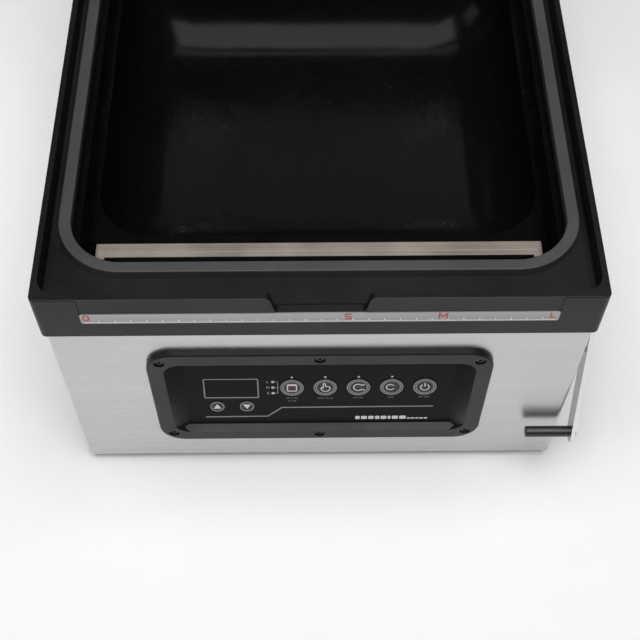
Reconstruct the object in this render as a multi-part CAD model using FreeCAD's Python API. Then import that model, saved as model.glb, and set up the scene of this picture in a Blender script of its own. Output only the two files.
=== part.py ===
import FreeCAD, Part
import math
import os

# Chamber vacuum sealer, in millimetres. +X is the right-hand side, +Y the rear and +Z up.
# The origin is the centre of the small pressed pad under the base plate.
# The lid is drawn shut and then swung back to its open stop, which is the rest pose.

V = FreeCAD.Vector
X_AXIS = V(1, 0, 0)
Y_AXIS = V(0, 1, 0)
Z_AXIS = V(0, 0, 1)

# Cabinet
body_width = 349.0
body_depth = 440.0
body_height = 172.5
sheet = 1.2
front_return = 38.0
front_bend_radius = 3.0
seam = 0.3
base_sheet = 1.5
base_flange = 12.0
pad_drop = 2.0
pad_size = 80.0
pad_radius = 8.0
post_leg = 15.0
post_inset = 4.0
vent_slot_width = 3.2
vent_slot_length = 46.0
vent_slots = 7
vent_pitch = 9.0
vent_height = 62.0
vent_inset = 8.0
vent_rise = 40.0

# Feet
foot_radius = 11.0
foot_tip_radius = 9.0
foot_height = 9.0
foot_inset_x = 26.0
foot_inset_y = 30.0
foot_sink_depth = 4.0
foot_sink_play = 0.6

# Screws
screw_radius = 1.5
screw_head_radius = 3.3
screw_head_height = 1.8
screw_length = 8.0
panel_screw_count = 4

# Top frame
frame_height = 40.5
frame_side_overhang = 3.0
frame_end_overhang = 2.0
frame_corner_radius = 4.0
frame_wall = 4.0
frame_edge_round = 0.8
rim_depth = 15.0
rim_width_side = 4.0
rim_width_front = 5.0
rim_inner_radius = 12.0
rim_foot_radius = 2.0
ledge_thickness = 5.0
deck_depth = 57.0
deck_thickness = 4.0
notch_width = 56.0
notch_flare = 3.0
notch_radius = 3.5

# Measuring strip
strip_length = 297.5
strip_height = 10.3
strip_drop = 15.1
strip_thickness = 0.6
strip_pocket_depth = 0.4
strip_radius = 1.5

# Chamber seal
gasket_gap_side = 5.5
gasket_gap_front = 22.5
gasket_gap_rear = 8.0
gasket_width = 8.0
gasket_height = 6.0
gasket_round = 0.8
gasket_radius = 43.0
groove_width = 3.2
groove_depth = 3.0
groove_clearance = 0.1

# Chamber
chamber_wall = 3.0
chamber_reveal = 5.2
chamber_reveal_front = 9.7
chamber_corner_radius = 10.0
chamber_lip_height = 2.0
chamber_lip_radius = 31.0
chamber_flange = 9.0
shelf_depth = 34.5
ridge_height = 1.5
ridge_radius = 3.0
ridge_width_side = 2.8
ridge_width_front = 4.5
basin_setback = 2.5
basin_depth = 63.5
basin_curve_height = 55.0
basin_curve_front = 70.0
basin_curve_side = 53.0
basin_curve_rear = 50.0
basin_corner_radius = 38.0
basin_floor_radius = 14.0
basin_steps = 6
trough_width = 33.3
trough_depth = 15.5
port_radius = 5.0
port_x = 60.0
port_drop = 15.0
port_wall = 1.6
port_length = 24.0
port_rim = 4.0
port_rim_thickness = 1.2
port_slot_height = 1.2
port_slot_pitch = 3.0

# Seal bar
bar_length = 294.0
bar_width = 18.0
bar_height = 25.0
bar_rear_gap = 11.0
bar_floor_gap = 6.0
bar_pin_spacing = 190.0
bar_pin_radius = 4.0
bar_pin_length = 34.0
bar_pin_clearance = 0.05
bar_pin_grip = 5.0
bar_relief_width = 8.0
bar_relief_height = 7.0
bar_block_length = 18.0
cylinder_radius = 8.0
cylinder_flange_radius = 13.0
cylinder_base = 2.0
cylinder_flange_thickness = 3.0
barb_radius = 3.0
barb_length = 12.0
barb_bore_radius = 1.5
barb_rise = 5.0
wire_width = 2.5
wire_thickness = 0.3
wire_spacing = 7.0
tape_thickness = 0.4
tape_skirt = 11.0

# Lid
lid_thickness = 11.5
lid_clearance = 2.5
lid_corner_radius = 10.0
lid_rest_gap = 0.3
lid_edge_round = 1.2
lid_open_angle = 100.0
hinge_offset = 21.5
hinge_spacing = 220.0
hinge_barrel_radius = 5.5
hinge_pin_radius = 3.0
hinge_pin_clearance = 0.05
hinge_pin_head_radius = 4.6
strap_width = 26.0
strap_thickness = 3.5
strap_radius = 3.0
strap_length = 62.0
strap_heel_length = 8.0
strap_heel_thickness = 4.0
ear_thickness = 3.5
ear_radius = 7.0
ear_gap = 0.4
bracket_plate = 2.5
bracket_reach = 17.0
bracket_radius = 1.5
barrel_gap = 0.5
lid_bolt_radius = 2.5
lid_bolt_head_radius = 4.8
lid_bolt_head_height = 2.8
lid_nut_height = 3.0
lid_bolt_first = 14.0
lid_bolt_pitch = 20.0
backing_width = 20.0
backing_length = 288.0
backing_height = 10.5
backing_slot_depth = 3.0
silicone_width = 12.0
silicone_height = 5.3
sensor_length = 22.0
sensor_width = 5.0
sensor_height = 9.0

# Control panel
bezel_width = 230.8
bezel_height = 119.0
bezel_bottom = 31.0
bezel_radius = 18.0
bezel_proud = 4.0
bezel_chamfer = 0.8
opening_width = 209.0
opening_height = 95.0
opening_bottom = 43.0
opening_radius = 12.0
cheek_lean = 9.5
tub_wall = 2.0
tub_clearance = 0.2
panel_tilt = 13.3
panel_setback = 1.5
panel_sill = 2.0
panel_thickness = 2.0
bezel_screw_x = 106.0
bezel_screw_top = 140.0
bezel_screw_bottom = 41.0
bezel_screw_mid_top = 143.7
bezel_screw_mid_bottom = 38.1
bezel_bore_radius = 3.7
bezel_bore_depth = 3.0
window_width = 39.0
window_height = 20.0
window_x = -62.6
window_rise = 37.9
window_thickness = 1.6
key_count = 5
key_radius = 8.6
key_first_x = -19.5
key_pitch = 23.5
key_rise = 38.6
key_gap = 0.3
key_proud = 0.6
key_travel = 0.8
key_flange = 1.2
key_flange_thickness = 0.9
small_key_radius = 5.2
small_key_x = (-73.3, -52.1)
small_key_rise = 19.3
stem_radius = 1.8
stem_play = 0.2
lamp_radius = 1.2
lamp_dot_radius = 0.9
lamp_length = 2.1
lamp_proud = 0.1
size_lamp_x = -33.0
size_lamp_rise = (44.3, 38.4, 32.6)
key_lamp_rise = 48.8
board_gap = 9.2
board_thickness = 1.6
board_margin = 9.0
boss_radius = 3.0
boss_peg_radius = 1.6
switch_size = 6.0
switch_height = 3.5
plunger_radius = 1.7
plunger_height = 0.6

# Side arm
arm_pivot_y = 28.0
arm_pivot_z = 150.0
arm_angle = 19.3
arm_length = 109.0
arm_width = 14.0
arm_thickness = 3.0
arm_gap = 6.5
arm_end_reach = 8.0
arm_pivot_radius = 3.0
arm_pivot_clearance = 0.05
arm_head_radius = 5.5
arm_head_height = 2.0
arm_nut_height = 3.0
grip_radius = 4.0
grip_length = 32.0
grip_end_round = 0.8
rivet_radius = 2.0
rivet_head_radius = 3.6
rivet_head_height = 1.6
arm_play = 0.3
stop_pin_radius = 2.0
stop_pin_along = 40.0
stop_pin_gap = 0.3
stop_pin_root = 3.0

# Pump
pump_radius = 34.0
pump_length = 104.0
pump_wall = 3.0
pump_y = 45.0
pump_z = 47.0
stator_bore_radius = 19.0
rotor_radius = 18.4
rotor_length = 60.0
shaft_radius = 5.0
shaft_clearance = 0.05
bearing_width = 8.0
fin_count = 10
fin_margin = 16.0
fin_height = 2.5
fin_thickness = 1.6
head_width = 44.0
head_depth = 62.0
head_height = 72.0
head_radius = 6.0
head_groove_rises = (12.0, 20.0, 50.0, 58.0)
head_groove_depth = 4.0
head_groove_width = 2.5
crank_radius = 13.0
crank_offset = 3.0
crank_width = 12.0
crank_gap = 4.0
rubber_mount_radius = 9.0
rubber_mount_inset = 10.0

# Rear panel items
fan_size = 80.0
fan_depth = 25.0
fan_bore_radius = 37.5
fan_tip_radius = 36.0
fan_hub_radius = 17.0
fan_hub_clearance = 0.6
fan_blades = 7
fan_x = -95.0
fan_z = 58.0
fan_axle_radius = 2.5
fan_axle_clearance = 0.05
fan_strut_thickness = 3.0
fan_strut_width = 3.2
guard_wire = 1.1
guard_rings = 4
guard_tab = 2.8
inlet_x = 112.0
inlet_z = 45.0
inlet_width = 28.0
inlet_height = 20.0
inlet_flange_x = 50.0
inlet_flange_z = 26.0
inlet_depth = 22.0
inlet_socket_depth = 17.0
inlet_wall = 2.0
inlet_flange_thickness = 2.5
inlet_flange_radius = 5.0
inlet_pin_places = ((-7.0, 1.0), (0.0, 4.0), (7.0, 1.0))
inlet_pin_width = 2.0
inlet_pin_height = 4.0
inlet_pin_tip = 3.0
inlet_pin_tail = 6.0
switch_x = 60.0
switch_width = 21.0
switch_tall = 28.0
switch_body_depth = 18.0
switch_rim = 2.0
switch_wall = 1.5
switch_well_depth = 12.0
rocker_tilt = 8.0
rocker_gap = 0.4
rocker_swing = 0.6
rocker_crest = 5.5
rocker_edge = 3.5
rocker_root = 4.5
rocker_heel = 2.5
rocker_axle_radius = 1.45
rocker_axle_clearance = 0.05
rocker_axle_depth = 5.0
fuse_x = 30.0
fuse_radius = 7.0
fuse_cap_radius = 8.5
fuse_cap_height = 6.0
fuse_length = 34.0
fuse_slot_depth = 1.5
fuse_slot_width = 1.6

# Inner parts
transformer_x = -140.0
transformer_y = -152.0
transformer_width = 66.0
transformer_depth = 52.0
transformer_height = 56.0
main_board_x = 22.0
main_board_y = -160.0
main_board_width = 126.0
main_board_depth = 88.0
relay_width = 18.0
relay_depth = 16.0
relay_height = 16.0
relay_pitch = 24.0
relay_count = 3
relay_y = 10.0
capacitor_radius = 7.0
capacitor_height = 24.0
capacitor_pitch = 20.0
capacitor_y = 70.0
capacitor_count = 2
sink_x = 70.0
sink_y = 40.0
sink_length = 40.0
sink_depth = 20.0
sink_height = 34.0
sink_plate = 4.0
sink_fin = 2.0
sink_fin_count = 6
sink_fin_pitch = 6.0
standoff_height = 10.0
valve_x = -140.0
valve_y = 128.0
valve_size = 26.0
valve_height = 46.0
valve_pitch = 34.0
valve_block_height = 18.0
valve_coil_radius = 11.0
valve_port_y = 8.0
hose_radius = 5.5

# Places that follow from the sizes above
half_width = body_width / 2
front_y = -body_depth / 2
rear_y = body_depth / 2
body_z = pad_drop
base_top = body_z + base_sheet
frame_z = body_z + body_height
rim_z = frame_z + frame_height
ledge_z = rim_z - rim_depth
ledge_under = ledge_z - ledge_thickness
inner_x = half_width - sheet
flange_x = inner_x - base_sheet
flange_front = front_y + sheet + base_sheet
flange_rear = rear_y - sheet - base_sheet
frame_x = half_width + frame_side_overhang
frame_front = front_y - frame_end_overhang
frame_rear = rear_y + frame_end_overhang
recess_x = frame_x - rim_width_side
recess_front = frame_front + rim_width_front
recess_rear = frame_rear - deck_depth
gasket_x = recess_x - gasket_gap_side
gasket_front = recess_front + gasket_gap_front
gasket_rear = recess_rear - gasket_gap_rear
mouth_x = gasket_x - gasket_width
mouth_front = gasket_front + gasket_width
mouth_rear = gasket_rear - gasket_width
mouth_radius = gasket_radius - gasket_width
gasket_top = ledge_z + gasket_height
well_x = mouth_x - chamber_reveal
well_front = mouth_front + chamber_reveal_front
well_rear = mouth_rear - chamber_reveal
shelf_z = ledge_z - shelf_depth
trough_z = shelf_z - trough_depth
trough_rear = well_front + trough_width
basin_x = well_x - ridge_width_side
basin_front = trough_rear + ridge_width_front + basin_setback
basin_rear = well_rear - ridge_width_side
basin_z = shelf_z - basin_depth
bar_rear = trough_rear - bar_rear_gap
bar_front = bar_rear - bar_width
bar_y = (bar_front + bar_rear) / 2
bar_z = trough_z + bar_floor_gap
bar_top = bar_z + bar_height
lid_under = gasket_top + lid_rest_gap
lid_top = lid_under + lid_thickness
lid_x = recess_x - lid_clearance
lid_front = recess_front + lid_clearance
lid_rear = recess_rear - lid_clearance
hinge_y = lid_rear + hinge_offset
hinge_z = max(lid_top, rim_z + bracket_plate + barrel_gap) + hinge_barrel_radius
panel_y = front_y + panel_setback
panel_z = body_z + opening_bottom + panel_sill


# ---- Shape helpers ----

def box(x0, x1, y0, y1, z0, z1):
    return Part.makeBox(x1 - x0, y1 - y0, z1 - z0, V(x0, y0, z0))


def rod(radius, length, base, direction=Z_AXIS):
    return Part.makeCylinder(radius, length, base, direction)


def tube(outer, inner, length, base, direction=Z_AXIS):
    return rod(outer, length, base, direction).cut(rod(inner, length, base, direction))


def polar(cx, cy, z, radius, degrees):
    angle = math.radians(degrees)
    return V(cx + radius * math.cos(angle), cy + radius * math.sin(angle), z)


def rounded_wire(x0, x1, y0, y1, z, radius):
    corners = ((x1 - radius, y0 + radius, -90),
               (x1 - radius, y1 - radius, 0),
               (x0 + radius, y1 - radius, 90),
               (x0 + radius, y0 + radius, 180))
    arcs = []
    for cx, cy, start in corners:
        arcs.append([polar(cx, cy, z, radius, start + turn) for turn in (0, 45, 90)])
    edges = []
    for index, points in enumerate(arcs):
        edges.append(Part.Arc(*points).toShape())
        edges.append(Part.LineSegment(points[2], arcs[(index + 1) % 4][0]).toShape())
    return Part.Wire(edges)


def rounded_block(x0, x1, y0, y1, z0, z1, radius):
    return Part.Face(rounded_wire(x0, x1, y0, y1, z0, radius)).extrude(V(0, 0, z1 - z0))


def polygon_prism(points, direction):
    return Part.Face(Part.makePolygon(points + [points[0]])).extrude(direction)


def turned(shape, centre, axis, degrees):
    copy = shape.copy()
    copy.rotate(centre, axis, degrees)
    return copy


def moved(shape, dx=0.0, dy=0.0, dz=0.0):
    copy = shape.copy()
    copy.translate(V(dx, dy, dz))
    return copy


def mirrored(shape):
    return shape.mirror(V(0, 0, 0), X_AXIS)


def both_sides(shape):
    return [shape, mirrored(shape)]


def joined(shapes):
    return shapes[0].fuse(shapes[1:]).removeSplitter()


def holed(shape, tools):
    return shape.cut(Part.Compound(tools))


def edges_where(shape, test):
    return [edge for edge in shape.Edges if test(edge)]


def is_along(edge, axis):
    if edge.Curve.TypeId != "Part::GeomLine":
        return False
    return abs(edge.Curve.Direction.dot(axis)) > 0.999


def middle(edge):
    return edge.BoundBox.Center


def on_front(shape):
    """Put a shape drawn as (x, height, outward) on the cabinet's front face."""
    return moved(turned(shape, V(0, 0, 0), X_AXIS, 90), dy=front_y)


def on_panel(shape):
    """Put a shape drawn as (x, rise, outward) on the inclined control plate."""
    return moved(turned(shape, V(0, 0, 0), X_AXIS, 90 - panel_tilt), dy=panel_y, dz=panel_z)


def on_rear(shape):
    """Put a shape drawn as (x, height, outward) on the cabinet's rear face."""
    return moved(turned(shape, V(0, 0, 0), X_AXIS, 90).mirror(V(0, 0, 0), Y_AXIS), dy=rear_y)


def screw(head_at, direction, length=screw_length):
    """Round-head screw; its head stands on head_at and its shank runs along direction."""
    head = rod(screw_head_radius, screw_head_height, head_at - direction * screw_head_height, direction)
    rim = edges_where(head, lambda e: abs((e.BoundBox.Center - head_at).dot(direction)) > 0.5)
    head = head.makeFillet(0.9, [e for e in rim if e.Curve.TypeId == "Part::GeomCircle"])
    socket = rod(1.4, 1.0, head_at - direction * screw_head_height, direction)
    return head.cut(socket).fuse(rod(screw_radius, length, head_at, direction))


def smooth_tube(points, radius):
    """Tube along straight runs joined by tangent arcs as large as the runs allow."""
    edges = []
    start = points[0]
    for before, corner, after in zip(points, points[1:], points[2:]):
        incoming = (corner - before).normalize()
        outgoing = (after - corner).normalize()
        reach = 0.45 * min(before.distanceToPoint(corner), corner.distanceToPoint(after))
        enter = corner - incoming * reach
        leave = corner + outgoing * reach
        turn = math.acos(incoming.dot(outgoing))
        bend = reach / math.tan(turn / 2)
        inward = (outgoing - incoming).normalize()
        apex = corner + inward * (bend / math.cos(turn / 2) - bend)
        edges.append(Part.LineSegment(start, enter).toShape())
        edges.append(Part.Arc(enter, apex, leave).toShape())
        start = leave
    edges.append(Part.LineSegment(start, points[-1]).toShape())
    path = Part.Wire(edges)
    tangent = (points[1] - points[0]).normalize()
    profile = Part.Wire(Part.Circle(points[0], tangent, radius).toShape())
    return path.makePipeShell([profile], True, False)


# ---- Cabinet ----

def foot_places():
    for x in (foot_inset_x - half_width, half_width - foot_inset_x):
        for y in (front_y + foot_inset_y, rear_y - foot_inset_y):
            yield x, y


def base_plate():
    tray = box(-inner_x, inner_x, front_y + sheet, rear_y - sheet, body_z, body_z + base_flange)
    corners = edges_where(tray, lambda e: is_along(e, Z_AXIS) and middle(e).y < 0)
    tray = tray.makeFillet(front_bend_radius - sheet, corners)
    tray = tray.cut(box(-flange_x, flange_x, flange_front, flange_rear, base_top, body_z + base_flange))
    half = pad_size / 2
    pad = rounded_block(-half, half, -half, half, 0, body_z, pad_radius)
    inside = half - base_sheet
    dish = rounded_block(-inside, inside, -inside, inside, base_sheet, base_top, pad_radius - base_sheet)
    holes = [rod(screw_radius, 8.0, V(x, y, 0)) for x, y in foot_places()]
    holes += side_screw_holes() + rear_screw_holes()
    return holed(tray.fuse(pad).removeSplitter(), [dish] + holes)


def feet():
    solids = []
    for x, y in foot_places():
        foot = Part.makeCone(foot_tip_radius, foot_radius, foot_height, V(x, y, body_z - foot_height))
        bore = rod(screw_radius, foot_height, V(x, y, body_z - foot_height))
        sink = rod(screw_head_radius + foot_sink_play, foot_sink_depth, V(x, y, body_z - foot_height))
        solids.append(foot.cut(bore).cut(sink))
    return solids


def foot_screws():
    seat = body_z - foot_height + foot_sink_depth
    return [screw(V(x, y, seat), Z_AXIS, foot_height) for x, y in foot_places()]


def side_screw_places():
    run = body_depth - front_return
    for index in range(panel_screw_count):
        yield front_y + front_return + run * (index + 0.5) / panel_screw_count, body_z + base_flange / 2


def side_screw_holes():
    holes = []
    for y, z in side_screw_places():
        holes += both_sides(rod(screw_radius, 6.0, V(flange_x - 2, y, z), X_AXIS))
    return holes


def rear_screw_places():
    for index in range(panel_screw_count):
        yield inner_x * (index - 1.5) / 2, body_z + base_flange / 2


def rear_screw_holes():
    return [rod(screw_radius, 6.0, V(x, flange_rear - 2, z), Y_AXIS) for x, z in rear_screw_places()]


def panel_screws():
    solids = []
    for y, z in side_screw_places():
        solids += both_sides(screw(V(half_width, y, z), V(-1, 0, 0), 5.0))
    for x, z in rear_screw_places():
        solids.append(screw(V(x, rear_y, z), V(0, -1, 0), 5.0))
    return solids


def front_shell(x, y, radius):
    """Solid whose two front upright edges are rounded; its rear is square."""
    return rounded_block(-x, x, y, y + 4 * front_return, body_z, frame_z, radius)


def front_panel():
    rear_cut = box(-body_width, body_width, front_y + front_return, front_y + 6 * front_return, 0, rim_z)
    outer = front_shell(half_width, front_y, front_bend_radius).cut(rear_cut)
    inner = front_shell(inner_x, front_y + sheet, front_bend_radius - sheet)
    grow = tub_wall + tub_clearance
    window = panel_cutout(grow, -10.0, 10.0, opening_radius + grow)
    holes = bezel_screw_holes(screw_radius, -12.0, 2.0)
    return holed(outer.cut(inner), [window, arm_pivot_hole(), stop_pin()] + holes)


def side_panel():
    low = front_y + front_return + seam
    panel = box(inner_x, half_width, low, rear_y, body_z, frame_z)
    slots = []
    for index in range(vent_slots):
        y = rear_y - vent_height + vent_inset - index * vent_pitch
        slots.append(box(inner_x - 1, half_width + 1, y, y + vent_slot_width,
                         body_z + vent_rise, body_z + vent_rise + vent_slot_length))
    return holed(panel, slots + side_screw_holes())


def rear_panel():
    panel = box(-inner_x, inner_x, rear_y - sheet, rear_y, body_z, frame_z)
    depth = 2 * sheet
    fan_hole = rod(fan_bore_radius, 2 * depth, V(fan_x, rear_y - depth, fan_z), Y_AXIS)
    inlet_hole = centred_rear(inlet_x, inlet_z, inlet_width, inlet_height, -depth, depth)
    switch_hole = centred_rear(switch_x, inlet_z, switch_width, switch_tall, -depth, depth)
    fuse_hole = rod(fuse_radius, 2 * depth, V(fuse_x, rear_y - depth, inlet_z), Y_AXIS)
    places = fan_screw_places() + inlet_screw_places()
    fixing = [rod(screw_radius, 2 * depth, V(x, rear_y - depth, z), Y_AXIS) for x, z in places]
    return holed(panel, [fan_hole, inlet_hole, switch_hole, fuse_hole] + fixing + rear_screw_holes())


def post_places():
    x = half_width - front_return / 2 - post_inset - 1.5
    for side in (-1, 1):
        yield side * x, flange_front, 1
        yield side * x, flange_rear, -1


def corner_posts():
    posts = []
    for x, y, inward in post_places():
        low, high = sorted((y, y + inward * post_leg))
        plate_low, plate_high = sorted((y, y + inward * base_sheet))
        leg = box(x - post_leg / 2, x + post_leg / 2, plate_low, plate_high, base_top, ledge_under)
        web = box(x - post_leg / 2, x - post_leg / 2 + base_sheet, low, high, base_top, ledge_under)
        tab = box(x - post_leg / 2, x + post_leg / 2, low, high, ledge_under - base_sheet, ledge_under)
        posts.append(joined([leg, web, tab]).cut(frame_screw_hole(x, y + inward * post_leg / 2)))
    return posts


# ---- Top frame and measuring strip ----

def frame_screw_hole(x, y):
    low = ledge_under - chamber_wall - 0.5
    return rod(screw_radius, ledge_z - groove_depth - 0.2 - low, V(x, y, low))


def frame_screw_places():
    """Every screw into the frame's ledge from below, with the level that its head bears on."""
    for x, y, inward in post_places():
        yield x, y + inward * post_leg / 2, ledge_under - base_sheet
    reach = mouth_x + chamber_flange - 3.0
    for side in (-1, 1):
        for share in (0.2, 0.5, 0.8):
            yield side * reach, mouth_front + share * (mouth_rear - mouth_front), ledge_under - chamber_wall


def frame_screws():
    tip = ledge_z - groove_depth - 0.2
    return [screw(V(x, y, z), Z_AXIS, tip - z) for x, y, z in frame_screw_places()]


def finger_notch():
    half = notch_width / 2
    low, high = ledge_z, rim_z + 1.0
    spread = notch_flare * (high - low) / rim_depth
    y0, y1 = frame_front - 1.0, recess_front + 1.0
    lower = [V(-half, y0, low), V(half, y0, low)]
    points = lower + [V(half + spread, y0, high), V(-half - spread, y0, high)]
    cut = polygon_prism(points, V(0, y1 - y0, 0))
    foot = edges_where(cut, lambda e: is_along(e, Y_AXIS) and abs(middle(e).z - low) < 0.1)
    return cut.makeFillet(notch_radius, foot)


def top_frame():
    body = rounded_block(-frame_x, frame_x, frame_front, frame_rear, frame_z, rim_z, frame_corner_radius)
    recess = rounded_block(-recess_x, recess_x, recess_front, recess_rear,
                           ledge_z, rim_z + 1, rim_inner_radius)
    foot = edges_where(recess, lambda e: abs(middle(e).z - ledge_z) < 0.01)
    recess = recess.makeFillet(rim_foot_radius, foot)
    body = body.cut(recess).cut(finger_notch())
    body = body.makeFillet(notch_radius, edges_where(body, is_notch_lip))
    body = body.makeFillet(frame_edge_round, edges_where(body, is_outer_top_edge))
    wall_x = frame_x - frame_wall
    wall_front = frame_front + frame_wall
    wall_rear = frame_rear - frame_wall
    under = box(-wall_x, wall_x, wall_front, wall_rear, frame_z - 1, ledge_under)
    deck_under = box(-wall_x, wall_x, recess_rear + frame_wall, wall_rear,
                     frame_z - 1, rim_z - deck_thickness)
    mouth = rounded_block(-mouth_x, mouth_x, mouth_front, mouth_rear,
                          ledge_under - 1, ledge_z + 1, mouth_radius)
    tools = [under, deck_under, mouth, seal_groove(), strip_pocket()]
    tools += [frame_screw_hole(x, y) for x, y, z in frame_screw_places()]
    tools += [rod(screw_radius, 30.0, V(x, y, rim_z - 20)) for x, y in hinge_screw_places()]
    return holed(body, tools)


def is_notch_lip(edge):
    at = middle(edge)
    near_notch = abs(at.x) < notch_width and at.y < recess_front
    return near_notch and is_along(edge, Y_AXIS) and abs(at.z - rim_z) < 0.1


def is_outer_top_edge(edge):
    at = middle(edge)
    outside = abs(at.x) > recess_x + 0.5 or at.y < frame_front + 1 or at.y > recess_rear + 1
    return outside and abs(at.z - rim_z) < 0.01


def strip_bounds():
    top = rim_z - strip_drop
    return -strip_length / 2, strip_length / 2, top - strip_height, top


def strip_pocket():
    x0, x1, low, high = strip_bounds()
    depth = frame_end_overhang
    floor = depth - strip_pocket_depth
    return on_front(rounded_block(x0, x1, low, rim_z + 5, floor, depth + 1, strip_radius))


def measuring_strip():
    x0, x1, low, high = strip_bounds()
    floor = frame_end_overhang - strip_pocket_depth
    return on_front(rounded_block(x0, x1, low, high, floor, floor + strip_thickness, strip_radius))


# ---- Chamber seal and chamber ----

def seal_ring(inset_outer, inset_inner, low, high):
    def loop(inset):
        return rounded_block(-gasket_x + inset, gasket_x - inset, gasket_front + inset, gasket_rear - inset,
                             low, high, gasket_radius - inset)
    return loop(inset_outer).cut(loop(inset_inner))


def seal_groove():
    edge = (gasket_width - groove_width) / 2
    return seal_ring(edge, edge + groove_width, ledge_z - groove_depth, ledge_z + 1)


def chamber_gasket():
    band = seal_ring(0, gasket_width, ledge_z, gasket_top)
    rims = edges_where(band, lambda e: abs(middle(e).z - gasket_top) < 0.01)
    band = band.makeFillet(gasket_round, rims)
    edge = (gasket_width - groove_width) / 2 + groove_clearance
    tongue = seal_ring(edge, gasket_width - edge, ledge_z - groove_depth + groove_clearance, ledge_z + 0.5)
    return band.fuse(tongue).removeSplitter()


def basin(offset):
    """Solid that fills the basin; with an offset it is the outside of the basin's wall."""
    reach = [size + offset for size in (basin_curve_side, basin_curve_front, basin_curve_rear)]
    drop = basin_curve_height + offset
    start_z = basin_z + basin_curve_height
    wires = []
    for step in range(basin_steps + 1):
        angle = math.radians(90.0 * step / basin_steps)
        side, front, rear = [size * (1 - math.cos(angle)) for size in reach]
        outer_radius = basin_corner_radius + offset
        radius = outer_radius + (basin_floor_radius - outer_radius) * (1 - math.cos(angle))
        half = basin_x + offset - side
        wires.append(rounded_wire(-half, half, basin_front - offset + front, basin_rear + offset - rear,
                                  start_z - drop * math.sin(angle), radius))
    curve = Part.makeLoft(wires, True, False)
    half = basin_x + offset
    neck = rounded_block(-half, half, basin_front - offset, basin_rear + offset,
                         start_z, shelf_z + 1, basin_corner_radius + offset)
    return curve.fuse(neck)


def well(grow, low, high):
    return rounded_block(-well_x - grow, well_x + grow, well_front - grow, well_rear + grow,
                         low, high, chamber_corner_radius + grow)


def trough(grow, low, high):
    return rounded_block(-well_x - grow, well_x + grow, well_front - grow, trough_rear + grow,
                         low, high, chamber_corner_radius + grow)


def lift_places():
    for x in (-bar_pin_spacing / 2, bar_pin_spacing / 2):
        yield x, bar_y


def chamber_liner():
    """An upper well with the shelf, and the trough and the basin that are welded under it."""
    wall = chamber_wall
    reach = chamber_flange
    flange = rounded_block(-mouth_x - reach, mouth_x + reach, mouth_front - reach, mouth_rear + reach,
                           ledge_under - wall, ledge_under, mouth_radius + reach)
    lip = rounded_block(-well_x - wall, well_x + wall, well_front - wall, well_rear + wall,
                        ledge_under - 1, ledge_under + chamber_lip_height, chamber_lip_radius + wall)
    outside = joined([well(wall, shelf_z - wall, ledge_under), basin(wall), flange, lip,
                      trough(wall, trough_z - wall, shelf_z - wall + 1)])
    ridge = rounded_block(-well_x - 1, well_x + 1, trough_rear, well_rear + 1,
                          shelf_z, shelf_z + ridge_height, ridge_radius)
    ridge = ridge.cut(rounded_block(-basin_x, basin_x, trough_rear + ridge_width_front, basin_rear,
                                    shelf_z - 1, shelf_z + 9, basin_corner_radius))
    hollow = well(0, shelf_z, rim_z).cut(ridge)
    port = rod(port_radius, 3 * wall, V(port_x, well_rear - wall, ledge_under - port_drop), Y_AXIS)
    bores = [rod(cylinder_radius, 4 * wall, V(x, y, trough_z - 2 * wall)) for x, y in lift_places()]
    holes = [rod(screw_radius, 9.0, V(x, y, ledge_under - 6)) for x, y, z in frame_screw_places()]
    shell = outside.cut(hollow).cut(trough(0, trough_z, shelf_z + 1)).cut(basin(0))
    shell = shell.cut(Part.Compound([port] + bores + holes))
    upper_space = box(-frame_x, frame_x, frame_front, frame_rear, shelf_z - wall, rim_z)
    return shell.common(upper_space).Solids + shell.cut(upper_space).Solids


def vacuum_port():
    z = ledge_under - port_drop
    plug = 4.0
    grille = rod(port_radius + port_rim, port_rim_thickness, V(port_x, well_rear, z), V(0, -1, 0))
    spout = rod(port_radius, port_length, V(port_x, well_rear, z), Y_AXIS)
    duct = rod(port_radius - port_wall, port_length - plug + 1, V(port_x, well_rear + plug, z), Y_AXIS)
    slots = []
    for index in (-1, 0, 1):
        middle_z = z + index * port_slot_pitch
        slots.append(box(port_x - port_radius, port_x + port_radius,
                         well_rear - port_rim_thickness - 1, well_rear + 2 * plug,
                         middle_z - port_slot_height / 2, middle_z + port_slot_height / 2))
    return holed(grille.fuse(spout), slots + [duct])


# ---- Seal bar and its lifting cylinders ----

def seal_bar_cylinders():
    solids = []
    bottom = bar_z - bar_pin_length - cylinder_base
    for x, y in lift_places():
        top = trough_z + 2.0
        body = rod(cylinder_radius, top - bottom, V(x, y, bottom))
        flange = rod(cylinder_flange_radius, cylinder_flange_thickness,
                     V(x, y, trough_z - chamber_wall - cylinder_flange_thickness))
        barb = rod(barb_radius, barb_length, V(x, y, bottom + barb_rise), V(0, -1, 0))
        bore = rod(bar_pin_radius + bar_pin_clearance, top - bottom, V(x, y, bottom + cylinder_base))
        vent = rod(barb_bore_radius, barb_length + 4, V(x, y, bottom + barb_rise), V(0, -1, 0))
        solids.append(holed(joined([body, flange, barb]), [bore, vent]))
    return solids


def seal_bar_body():
    half = bar_length / 2
    bar = box(-half, half, bar_front, bar_rear, bar_z, bar_top)
    side = bar_relief_width / 2
    end = bar_block_length / 2
    top = bar_z + bar_relief_height
    relief = box(-half - 1, half + 1, bar_y - side, bar_y + side, bar_z - 1, top)
    blocks = [box(x - end, x + end, y - side, y + side, bar_z, top) for x, y in lift_places()]
    tapped = [rod(bar_pin_radius, bar_pin_grip, V(x, y, bar_z)) for x, y in lift_places()]
    return joined([bar.cut(relief)] + blocks).cut(Part.Compound(tapped))


def seal_bar_pins():
    length = bar_pin_length + bar_pin_grip
    return [rod(bar_pin_radius, length, V(x, y, bar_z - bar_pin_length)) for x, y in lift_places()]


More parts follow.
